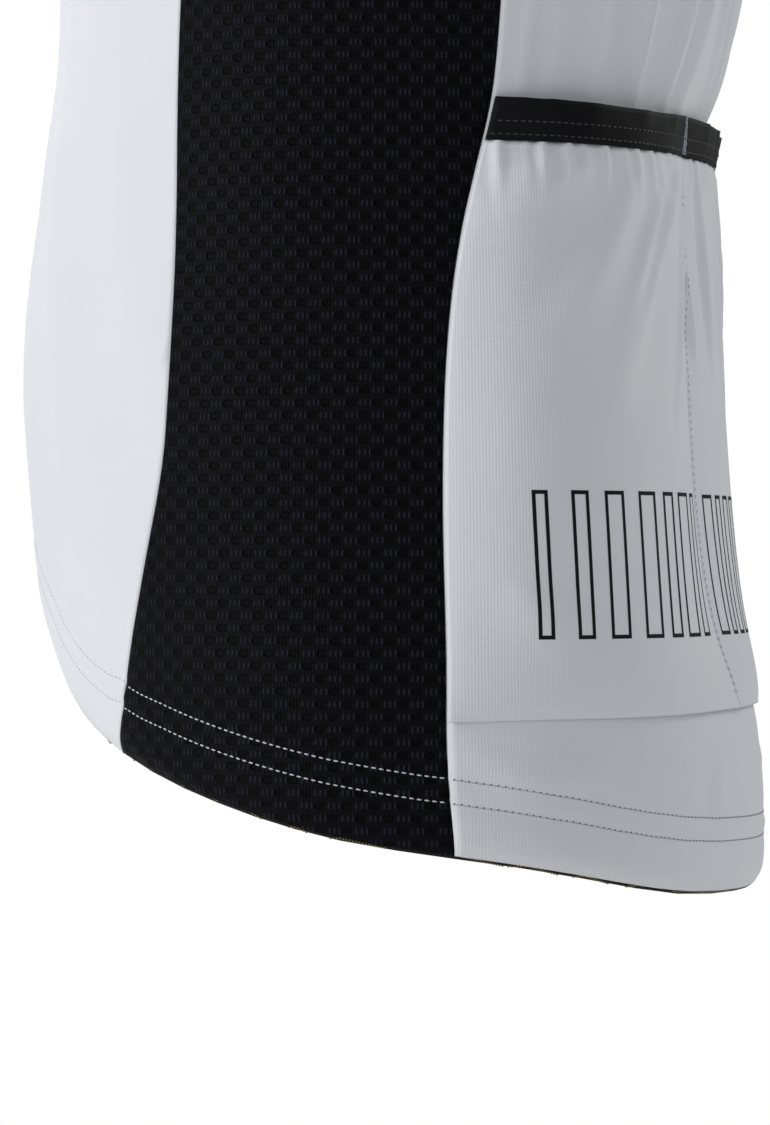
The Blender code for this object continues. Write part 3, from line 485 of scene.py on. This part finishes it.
def outerSkin(nodeName, name, material, chart):
    # the outer face of a cloth solid as one sheet of quads
    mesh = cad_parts[nodeName].data.copy()
    mesh.name = name
    shape = bmesh.new()
    shape.from_mesh(mesh)
    bmesh.ops.remove_doubles(shape, verts=shape.verts, dist=0.00001)
    rim = [f for f in shape.faces if min(e.calc_length() for e in f.edges) < 0.0021]
    bmesh.ops.delete(shape, geom=rim, context="FACES")
    left, sheets = set(shape.faces), []
    while left:
        stack = [left.pop()]
        sheet = list(stack)
        while stack:
            for edge in stack.pop().edges:
                for face in edge.link_faces:
                    if face in left:
                        left.remove(face)
                        stack.append(face)
                        sheet.append(face)
        sheets.append(sheet)
    inner = []
    for sheet in sheets:
        facing = 0.0
        for face in sheet:
            rel = face.calc_center_median() - chart["centre"]
            facing += face.normal.dot(rel - chart["up"] * rel.dot(chart["up"])) * face.calc_area()
        if facing <= 0:
            inner += sheet
    bmesh.ops.delete(shape, geom=inner, context="FACES")
    bmesh.ops.join_triangles(shape, faces=shape.faces, angle_face_threshold=math.radians(70),
                             angle_shape_threshold=math.radians(70))
    for face in shape.faces:
        face.smooth = True
    shape.to_mesh(mesh)
    shape.free()
    return newPiece(name, mesh, material)


def layFlat(piece, chart):
    # the piece's own pattern lines, in mm round and up
    points = np.empty(len(piece.data.vertices) * 3)
    piece.data.vertices.foreach_get("co", points)
    around, up = flatten(chart, points)
    fullTurn = 2 * chart["arcs"][-1]
    layer = piece.data.uv_layers.get("layMm") or piece.data.uv_layers.new(name="layMm")
    for face in piece.data.polygons:
        first = around[face.vertices[0]]
        for corner, vertex in zip(face.loop_indices, face.vertices):
            turn = around[vertex]
            if turn - first > fullTurn / 2:
                turn -= fullTurn
            elif first - turn > fullTurn / 2:
                turn += fullTurn
            layer.data[corner].uv = (turn, up[vertex])
    return around, up


def clearOfZip(around):
    # nought at the zip and one on the cloth beside it
    return np.clip((np.abs(around - frontMiddle) - 9) / 16, 0, 1)


def edgeReach(piece, around, up):
    # how far each vertex lies from the piece's cut edge, mm
    mesh = piece.data
    used = np.zeros(len(mesh.edges), dtype=int)
    keys = {key: i for i, key in enumerate(mesh.edge_keys)}
    for face in mesh.polygons:
        for key in face.edge_keys:
            used[keys[key]] += 1
    rim = sorted({v for i, edge in enumerate(mesh.edges) if used[i] == 1 for v in edge.vertices})
    spots = np.array([(around[v], up[v]) for v in rim])
    reach = np.full(len(around), 1e9)
    for start in range(0, len(spots), 60):
        part = spots[start:start + 60]
        gap = np.hypot(around[:, None] - part[None, :, 0], up[:, None] - part[None, :, 1]).min(axis=1)
        reach = np.minimum(reach, gap)
    return reach, spots


def aroundInOrder(around, spots):
    # the right side panel crosses the line where round starts again
    return np.where(around < 0, around + fullTurnMm, around) if np.ptp(spots[:, 0]) > 600 else around


def cutEdge(spots, end, step=3.0):
    # the lower (np.min) or upper (np.max) cut edge as rows of (round, up)
    inOrder = np.column_stack((aroundInOrder(spots[:, 0], spots), spots[:, 1]))
    rows = []
    for at in np.arange(inOrder[:, 0].min() + step / 2, inOrder[:, 0].max(), step):
        near = inOrder[np.abs(inOrder[:, 0] - at) < step]
        if len(near):
            rows.append((at, end(near[:, 1])))
    first = last = len(rows) // 2             # the row ends where the edge turns up a seam
    while first > 0 and abs(rows[first - 1][1] - rows[first][1]) < 1.6 * step:
        first -= 1
    while last < len(rows) - 1 and abs(rows[last + 1][1] - rows[last][1]) < 1.6 * step:
        last += 1
    return np.array(rows[first:last + 1])


def clothPiece(make):
    piece = outerSkin(make["node"], make["name"], make["material"], make["chart"])
    useModifier(piece, "smooth", "SUBSURF", {"levels": make["levels"], "render_levels": make["levels"],
                                             "boundary_smooth": "PRESERVE_CORNERS"})
    chart = make["chart"]
    around, up = layFlat(piece, chart)
    reach, spots = edgeReach(piece, around, up)
    lift = creaseHeights(make["creases"], around, up, 2 * chart["arcs"][-1])
    if chart is bodyChart:
        lift *= clearOfZip(around)
        lift *= np.clip((up - 2) / 6, 0, 1) * 0.4 + 0.6
    lift -= make["seamDip"] * np.exp(-(reach / 2.2) ** 2)
    if "hemRows" in make:
        hem = cutEdge(spots, np.min)
        above = up - np.interp(aroundInOrder(around, spots), hem[:, 0], hem[:, 1])
        for row in make["hemRows"]:
            lift -= 0.32 * np.exp(-((above - row) / 1.7) ** 2)
        lift += 0.3 * np.exp(-((above - sum(make["hemRows"]) / 2) / 2.2) ** 2)
    if "gathers" in make:
        mouth = cutEdge(spots, np.max)
        below = np.interp(aroundInOrder(around, spots), mouth[:, 0], mouth[:, 1]) - up
        waves = np.sin(around * 0.86) + 0.7 * np.sin(around * 0.53 + 1.1) + 0.5 * np.sin(around * 1.37 + 0.4)
        lift += make["gathers"] * waves * np.exp(-((below - 3) / 9) ** 2)
    mesh = piece.data
    normals = [v.normal.copy() for v in mesh.vertices]
    for vertex, normal, height in zip(mesh.vertices, normals, lift):
        vertex.co += normal * (float(height) * mm)
    skin = bmesh.new()
    skin.from_mesh(mesh)
    tree = BVHTree.FromBMesh(skin)
    area = sum(f.calc_area() for f in skin.faces)
    skin.free()
    useModifier(piece, "wall", "SOLIDIFY", {"thickness": make["wallMm"] * mm, "offset": -1.0,
                                            "use_rim": True, "use_even_offset": False})
    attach(piece, "garment")
    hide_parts(make["node"])
    print(make["name"], "area", round(area, 4), "faces", len(piece.data.polygons))
    return {"piece": piece, "tree": tree, "chart": chart, "edge": spots}


body = {"levels": 3, "chart": bodyChart, "creases": bodyCreases, "seamDip": 0.35, "wallMm": 0.9}
hemRows = (14.6, 21.2)      # the two stitched rows of the hem, mm above its edge
whiteCloth = {"material": whiteKnit, "slot": "white_knit"}
meshCloth = {"material": blackMesh, "slot": "black_mesh"}
hemmed = {"hemRows": hemRows}
pocketCloth = {**whiteCloth, "gathers": 0.4, "levels": 4}
elasticCloth = {"material": blackElastic, "slot": "black_elastic", "wallMm": 1.3, "seamDip": 0.2}
garment = {}
for name, node, cloth in (
    ("frontLeft", "front_panel_left", {**whiteCloth, **hemmed}),
    ("frontRight", "front_panel_right", {**whiteCloth, **hemmed}),
    ("back", "back_panel", {**whiteCloth, **hemmed}),
    ("sideLeft", "side_panel_left", {**meshCloth, **hemmed}),
    ("sideRight", "side_panel_right", {**meshCloth, **hemmed}),
    ("pocketLeft", "pocket_left", pocketCloth),
    ("pocketMiddle", "pocket_middle", pocketCloth),
    ("pocketRight", "pocket_right", pocketCloth),
    ("bandLeft", "pocket_band_left", elasticCloth),
    ("bandMiddle", "pocket_band_middle", elasticCloth),
    ("bandRight", "pocket_band_right", elasticCloth),
    ("sleeveLeft", "sleeve_left", {**whiteCloth, "chart": leftSleeveChart, "creases": leftSleeveCreases}),
    ("sleeveRight", "sleeve_right",
     {**whiteCloth, "chart": rightSleeveChart, "creases": rightSleeveCreases}),
    ("collarStand", "collar", {**whiteCloth, "chart": collarChart, "creases": collarCreases}),
):
    garment[name] = clothPiece({"name": name, "node": node, **body, **cloth})
print("cloth made")


gripper = {"creaseShare": 0.6, "roundingMm": 0.25}


def gripperLoop(material):
    # an elastic loop inside the hem, which a row of silicone beads follows along its foot
    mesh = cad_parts["hem_gripper"].data.copy()
    shape = bmesh.new()
    shape.from_mesh(mesh)
    bmesh.ops.remove_doubles(shape, verts=shape.verts, dist=0.00001)
    bmesh.ops.join_triangles(shape, faces=shape.faces, angle_face_threshold=math.radians(40),
                             angle_shape_threshold=math.radians(40))
    around, up = flatten(bodyChart, [v.co[:] for v in shape.verts])
    lift = creaseHeights(bodyCreases, around, up, 2 * bodyChart["arcs"][-1]) * gripper["creaseShare"]
    lift *= clearOfZip(around)
    for vertex, height in zip(shape.verts, lift):
        out = Vector((vertex.co.x, vertex.co.y, 0)).normalized()
        vertex.co += out * (float(height) * mm)
    for face in shape.faces:
        face.smooth = True
    shape.to_mesh(mesh)
    tree = BVHTree.FromBMesh(shape)
    shape.free()
    piece = newPiece("gripperLoop", mesh, material)
    useModifier(piece, "soft", "BEVEL", {"width": gripper["roundingMm"] * mm, "segments": 2,
                                         "limit_method": "ANGLE"})
    layFlat(piece, bodyChart)
    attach(piece, "garment")
    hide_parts("hem_gripper")
    return {"piece": piece, "tree": tree, "chart": bodyChart, "around": around, "up": up}


garment["gripper"] = gripperLoop(gripperElastic)


def seat(record, around, up):
    # the spot on a piece, and the way out from it, at so far round and up
    start, way, reach = rayIn(record["chart"], around, up)
    hit, normal, _, _ = record["tree"].ray_cast(start, way, reach)
    if hit is not None and normal.dot(way) > 0:
        normal = -normal
    return hit, normal


def shapeOnce(kind, settings):
    # one stitch or bead is modelled here and copied along each row
    bpy.ops.object.select_all(action="DESELECT")
    kind(**settings)
    piece = bpy.context.active_object
    mesh = piece.data.copy()
    bpy.data.objects.remove(piece)
    corners = np.array([v.co[:] for v in mesh.vertices])
    faces = [tuple(f.vertices) for f in mesh.polygons]
    return corners, faces


stitchShape = shapeOnce(bpy.ops.mesh.primitive_uv_sphere_add, {"segments": 6, "ring_count": 5, "radius": 1})
beadShape = shapeOnce(bpy.ops.mesh.primitive_ico_sphere_add, {"subdivisions": 1, "radius": 1})


def manyCopies(name, shape, places, material, bodyName):
    # one joined mesh of copies, each placed by its own matrix
    corners, faces = shape
    points, allFaces = [], []
    for place in places:
        start = len(points)
        points += [tuple(place @ Vector(c)) for c in corners]
        allFaces += [tuple(start + i for i in f) for f in faces]
    mesh = bpy.data.meshes.new(name)
    mesh.from_pydata(points, [], allFaces)
    mesh.shade_smooth()
    piece = newPiece(name, mesh, material)
    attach(piece, bodyName)
    return piece


def rowPlaces(record, route, sew):
    # route is rows of (round, up); a place for each stitch along it
    route = np.array(route)
    steps = np.hypot(*np.diff(route, axis=0).T)
    runs = np.concatenate(([0.0], np.cumsum(steps)))
    places = []
    for at in np.arange(sew["pitch"] / 2, runs[-1], sew["pitch"]):
        ends = []
        for shift in (-0.5, 0.0, 0.5):
            along = at + shift * sew["size"][0]
            ends.append(seat(record, float(np.interp(along, runs, route[:, 0])),
                             float(np.interp(along, runs, route[:, 1]))))
        if any(hit is None for hit, _ in ends):
            continue
        middle, normal = ends[1]
        along = ends[2][0] - ends[0][0]
        if along.length < 1e-6 or along.length > 3 * sew["size"][0] * mm:
            continue
        along.normalize()
        across = normal.cross(along).normalized()
        normal = along.cross(across)
        length, width, height = (size / 2 * mm for size in sew["size"])
        turn = Matrix((along * length, across * width, normal * height)).transposed().to_4x4()
        places.append(Matrix.Translation(middle + normal * (sew.get("rise", 0.05) * mm)) @ turn)
    return places


def rowAbove(record, rise, end=np.min):
    edge = cutEdge(record["edge"], end)
    first, last = edge[0, 0] - 12, edge[-1, 0] + 12      # the row runs out to the seams, and stops there
    slopes = (0, 0)
    if len(edge) > 6:
        slopes = [(edge[i, 1] - edge[j, 1]) / (edge[i, 0] - edge[j, 0]) for i, j in ((3, 1), (-2, -4))]
    at = np.arange(first, last, 1.0)
    evened = np.convolve(np.pad(edge[:, 1], 1, mode="edge"), np.ones(3) / 3, "valid")
    smooth = np.interp(at, edge[:, 0], evened)
    smooth += np.minimum(at - edge[0, 0], 0) * slopes[0] + np.maximum(at - edge[-1, 0], 0) * slopes[1]
    return np.column_stack((at, smooth + rise))


def rowBeside(record, inset, low, high, last):
    # a row up the piece, a set way in from its first or last upright edge
    spots = np.column_stack((aroundInOrder(record["edge"][:, 0], record["edge"]), record["edge"][:, 1]))
    rows = []
    for at in np.arange(low, high, 4.0):
        near = spots[np.abs(spots[:, 1] - at) < 5]
        if len(near):
            rows.append(((near[:, 0].max() - inset) if last else (near[:, 0].min() + inset), at))
    return rows


hemSewing = {"pitch": 2.0, "size": (1.55, 0.5, 0.34), "rise": 0.06}
softSewing = {"pitch": 2.0, "size": (1.5, 0.42, 0.24), "rise": 0.0}
holeShadowSewing = {"pitch": 2.0, "size": (0.75, 0.55, 0.12), "rise": 0.05}
bandSewing = {"pitch": 2.3, "size": (1.7, 0.45, 0.3), "rise": 0.06}
tackSewing = {"pitch": 0.8, "size": (0.9, 0.4, 0.4), "rise": 0.1}
fineSewing = {"pitch": 2.2, "size": (1.3, 0.42, 0.24), "rise": 0.06}
bandRises = (1.5, 5.2)          # stitch rows above the lower edge of the pocket elastic, mm
tackInsets = (0.8, 1.9)         # legs of the bar tacks at the pocket dividers
sleeveRises = (-17.0, -21.5)    # rows inside the sleeve opening, measured from its edge

dark, pale, holes = [], [], []
for side in ("sideLeft", "sideRight"):
    for rise in hemRows:
        dark += rowPlaces(garment[side], rowAbove(garment[side], rise), hemSewing)
manyCopies("hemStitchesOnMesh", stitchShape, dark, whiteThread, "garment")
for panel in ("frontLeft", "frontRight", "back"):
    for rise in hemRows:
        route = rowAbove(garment[panel], rise)
        pale += rowPlaces(garment[panel], route, softSewing)
        if panel == "back":
            # painted shadow: dark dots set in the needle holes between the stitches on the white back
            holes += rowPlaces(garment[panel], route + np.array([hemSewing["pitch"] / 2, 0.0]), holeShadowSewing)
manyCopies("hemStitchesOnKnit", stitchShape, pale, softThread, "garment")
manyCopies("hemStitchHoleShadows", stitchShape, holes, holeShade, "garment")

bandRows = []
for band in ("bandLeft", "bandMiddle", "bandRight"):
    for rise in bandRises:
        bandRows += rowPlaces(garment[band], rowAbove(garment[band], rise), bandSewing)
manyCopies("bandStitches", stitchShape, bandRows, greyThread, "garment")

dividers = (("Left", True), ("Middle", False), ("Middle", True), ("Right", False))
tacks = []
for part, last in dividers:
    band = garment["band" + part]
    for inset in tackInsets:
        foot = cutEdge(band["edge"], np.min)
        foot = foot[-1 if last else 0, 1]
        side = rowBeside(band, inset, foot + 0.5, foot + 13.0, last)
        if len(side) < 2:
            continue
        base = side[0][0]
        route = [(base + 0.35 * math.sin(step * 1.9), foot + 0.6 + step * 0.8) for step in range(15)]
        tacks += rowPlaces(band, route, tackSewing)
manyCopies("bandTacks", stitchShape, tacks, softThread, "garment")

seamRows = []
for part, last in dividers:
    pocket = garment["pocket" + part]
    seamRows += rowPlaces(pocket, rowBeside(pocket, 1.6, 64, 216, last), fineSewing)
manyCopies("pocketSeamStitches", stitchShape, seamRows, softThread, "garment")

trimRows = []
for sleeve in ("sleeveLeft", "sleeveRight"):
    for rise in sleeveRises:
        trimRows += rowPlaces(garment[sleeve], rowAbove(garment[sleeve], rise, end=np.max), softSewing)
for rise in (1.6, 3.4):
    trimRows += rowPlaces(garment["collarStand"], rowAbove(garment["collarStand"], rise), fineSewing)
for name, last in (("frontLeft", False), ("frontRight", True)):
    trimRows += rowPlaces(garment[name], rowBeside(garment[name], 2.4, 96, 590, last), fineSewing)
manyCopies("trimStitches", stitchShape, trimRows, softThread, "garment")

gripperEdge = np.column_stack((garment["gripper"]["around"], garment["gripper"]["up"]))
beadSewing = {"pitch": 0.86, "size": (0.72, 0.72, 0.72), "rise": 0.08}
foot = cutEdge(gripperEdge[(gripperEdge[:, 0] > -419) & (gripperEdge[:, 0] < 419)], np.min, 6.0)
beads = rowPlaces(garment["gripper"], np.column_stack((foot[:, 0], foot[:, 1] + 0.75)), beadSewing)
manyCopies("gripperBeads", beadShape, beads, silicone, "garment")
print("sewing made", len(dark), len(pale), len(bandRows), len(tacks), len(seamRows), len(trimRows),
      len(beads))


def inkLine(record, start, end, width, proud):
    # one thin side of a printed bar, laid on the cloth
    length = math.dist(start, end)
    count = max(2, round(length / 1.5))
    bpy.ops.object.select_all(action="DESELECT")
    bpy.ops.mesh.primitive_grid_add(x_subdivisions=count, y_subdivisions=2, size=2)
    line = bpy.context.active_object
    way = ((end[0] - start[0]) / length, (end[1] - start[1]) / length)
    for vertex in line.data.vertices:
        along = (vertex.co.x + 1) / 2 * (length + width) - width / 2
        aside = vertex.co.y * width / 2
        hit, normal = seat(record, start[0] + way[0] * along - way[1] * aside,
                           start[1] + way[1] * along + way[0] * aside)
        if hit is None:
            bpy.data.objects.remove(line)
            return None
        vertex.co = hit + normal * (proud * mm)
    line.data.shade_smooth()
    return line


bars = {"foot": 82, "height": 40, "line": 1.1, "proud": 0.07, "lean": 1.4}
barRows = {
    # for each bar, how far round its first side stands at its foot, and its width
    "pocketLeft": ((33.0, 3.6), (44.8, 4.6), (56.0, 6.2), (69.4, 7.0), (81.8, 5.4), (92.0, 8.2),
                   (105.2, 6.6)),
    "pocketMiddle": ((131.0, 8.4), (144.6, 5.2), (155.2, 7.6), (168.4, 9.6), (184.0, 6.4), (196.2, 8.8),
                     (211.4, 10.4), (228.0, 6.8), (240.6, 9.0), (256.0, 7.2), (269.0, 5.0), (280.2, 8.0)),
    "pocketRight": ((308.6, 6.6), (320.8, 8.2), (334.4, 5.4), (345.0, 7.0), (357.8, 6.2), (370.4, 4.6),
                    (382.0, 3.6)),
}
lines = []
for name, row in barRows.items():
    for first, width in row:
        low, high = bars["foot"], bars["foot"] + bars["height"]
        lean = bars["lean"] * (1 if first > 210 else -1)
        corners = ((first, low), (first + width, low), (first + width + lean, high), (first + lean, high))
        for start, end in zip(corners, corners[1:] + corners[:1]):
            lines.append(inkLine(garment[name], start, end, bars["line"], bars["proud"]))
lines = [line for line in lines if line]
bpy.ops.object.select_all(action="DESELECT")
for line in lines:
    line.select_set(True)
bpy.context.view_layer.objects.active = lines[0]
bpy.ops.object.join()
printedBars = bpy.context.active_object
printedBars.name = "printedBars"
printedBars.data.materials.clear()
printedBars.data.materials.append(printInk)
printedBars.data.validate()
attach(printedBars, "garment")
print("bars made", len(lines))


cast = {"roundingMm": 0.14, "sharpFrom": 35, "smoothUpTo": 40}     # angles in degrees


def castPiece(nodeName, name, bodyName):
    # the cast pieces of the zip keep their shape and get soft edges
    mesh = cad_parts[nodeName].data.copy()
    piece = newPiece(name, mesh, zipMetal)
    onlySelect(piece)
    bpy.ops.object.mode_set(mode="EDIT")
    bpy.ops.mesh.select_all(action="SELECT")
    bpy.ops.mesh.remove_doubles(threshold=0.00001)
    bpy.ops.mesh.dissolve_limited(angle_limit=math.radians(4))
    bpy.ops.object.mode_set(mode="OBJECT")
    useModifier(piece, "edges", "BEVEL", {"width": cast["roundingMm"] * mm, "segments": 2,
                                          "limit_method": "ANGLE",
                                          "angle_limit": math.radians(cast["sharpFrom"])})
    onlySelect(piece)
    bpy.ops.object.shade_smooth_by_angle(angle=math.radians(cast["smoothUpTo"]))
    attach(piece, bodyName)
    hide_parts(nodeName)
    return piece


for nodeName, name, bodyName in (("zip_slider", "sliderBody", "garment"), ("zip_box", "footBox", "garment"),
                                 ("zip_pull", "pullTab", "pull_tab")):
    castPiece(nodeName, name, bodyName)

coilPoints = np.array([v.co[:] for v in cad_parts["zip_coil"].data.vertices])
heights = np.unique(np.round(coilPoints[:, 2], 4))
fronts = np.array([coilPoints[np.abs(coilPoints[:, 2] - z) < 0.0008][:, 1].min() for z in heights])
coil = {"pitch": 1.3, "size": (2.3, 0.85, 0.7)}
turns = []
for number, z in enumerate(np.arange(heights[0] + 0.002, heights[-1] - 0.001, coil["pitch"] / 2 * mm)):
    y = float(np.interp(z, heights, fronts))
    ahead = float(np.interp(z + 0.002, heights, fronts)) - float(np.interp(z - 0.002, heights, fronts))
    tilt = Matrix.Rotation(-math.atan2(ahead, 0.004), 4, "X")
    side = 1 if number % 2 else -1
    size = Matrix.Diagonal((coil["size"][0] / 2 * mm, coil["size"][2] / 2 * mm, coil["size"][1] / 2 * mm, 1))
    turns.append(Matrix.Translation((side * 0.75 * mm, y - 0.05 * mm, z)) @ tilt @ size)
manyCopies("zipCoilTurns", stitchShape, turns, zipNylon, "garment")
for nodeName, material in (("zip_tape_left", zipTape), ("zip_tape_right", zipTape), ("zip_coil", zipNylon)):
    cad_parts[nodeName].data.materials.clear()
    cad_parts[nodeName].data.materials.append(material)
print("zip made")


def addStage(name, material, kind, settings):
    bpy.ops.object.select_all(action="DESELECT")
    kind(**settings)
    piece = bpy.context.active_object
    piece.name = name
    piece.data.materials.append(material)
    return piece


floorPaint = newMaterial("floorPaintRolled")           # matt studio paint that fades into the backdrop
floorPlace = addNode(floorPaint, "ShaderNodeTexCoord")
floorReach = addNode(floorPaint, "ShaderNodeVectorMath", {"operation": "LENGTH"},
                     [(floorPlace.outputs["Object"], 0)])
floorFade = addNode(floorPaint, "ShaderNodeMapRange",
                    {"interpolation_type": "SMOOTHSTEP", "From Min": 0.7, "From Max": 3.0},
                    [(floorReach.outputs["Value"], "Value")])
floorShader = addNode(floorPaint, "ShaderNodeBsdfPrincipled",
                      {"Base Color": linear("#F2F2F0"), "Roughness": 0.8})
floorGlow = addNode(floorPaint, "ShaderNodeEmission", {"Strength": 1.0})
floorMix = addNode(floorPaint, "ShaderNodeMixShader", None,
                   [(floorFade.outputs[0], 0), (floorShader.outputs[0], 1), (floorGlow.outputs[0], 2)])
addNode(floorPaint, "ShaderNodeOutputMaterial", None, [(floorMix.outputs[0], "Surface")])
addStage("floor", floorPaint, bpy.ops.mesh.primitive_circle_add,
         {"vertices": 96, "radius": 3.2, "fill_type": "NGON", "location": (0, 0, -1.36)})

backdropGlow = newMaterial("backdropCanvasLit")
glow = addNode(backdropGlow, "ShaderNodeEmission", {"Color": (1, 1, 1, 1), "Strength": 1.0})
addNode(backdropGlow, "ShaderNodeOutputMaterial", None, [(glow.outputs[0], "Surface")])
backdrop = addStage("backdrop", backdropGlow, bpy.ops.mesh.primitive_uv_sphere_add,
                    {"segments": 48, "ring_count": 24, "radius": 14, "location": (0, 0, 0)})
for ray in ("visible_diffuse", "visible_glossy", "visible_transmission", "visible_shadow"):
    setattr(backdrop, ray, False)

bpy.context.scene.view_settings.view_transform = "Standard"
world = bpy.data.worlds.new("studio")
bpy.context.scene.world = world
world.use_nodes = True
world.node_tree.nodes["Background"].inputs["Color"].default_value = (0.93, 0.96, 1.0, 1.0)
world.node_tree.nodes["Background"].inputs["Strength"].default_value = 0.24

lamps = (
    # name, place, aim, size, power
    ("keyLight", (1.0, -2.4, 0.3), (0.0, 0.0, -0.4), 1.1, 40),
    ("fillLight", (2.6, 0.6, 0.5), (0.0, 0.0, -0.4), 1.6, 9),
    ("backLight", (-1.6, 2.2, 0.9), (0.0, 0.0, -0.3), 1.2, 24),
    ("farLight", (-2.4, -1.4, 0.6), (0.0, 0.0, -0.3), 1.4, 20),
)
for name, place, aim, size, power in lamps:
    lamp = bpy.data.lights.new(name, "AREA")
    lamp.size = size
    lamp.energy = power
    stand = bpy.data.objects.new(name, lamp)
    bpy.context.scene.collection.objects.link(stand)
    stand.location = place
    stand.rotation_euler = (Vector(aim) - Vector(place)).to_track_quat("-Z", "Y").to_euler()

camera = bpy.data.cameras.new("camera")
camera.sensor_width = 36
camera.lens = 18 / (174.4 / 1400)
camera.clip_end = 60
cameraStand = bpy.data.objects.new("camera", camera)
bpy.context.scene.collection.objects.link(cameraStand)
cameraStand.location = (1.4, -0.009, -0.5449)
cameraStand.rotation_euler = (math.radians(90), 0, math.radians(90))
bpy.context.scene.camera = cameraStand
print("stage made")

bpy.context.view_layer.update()
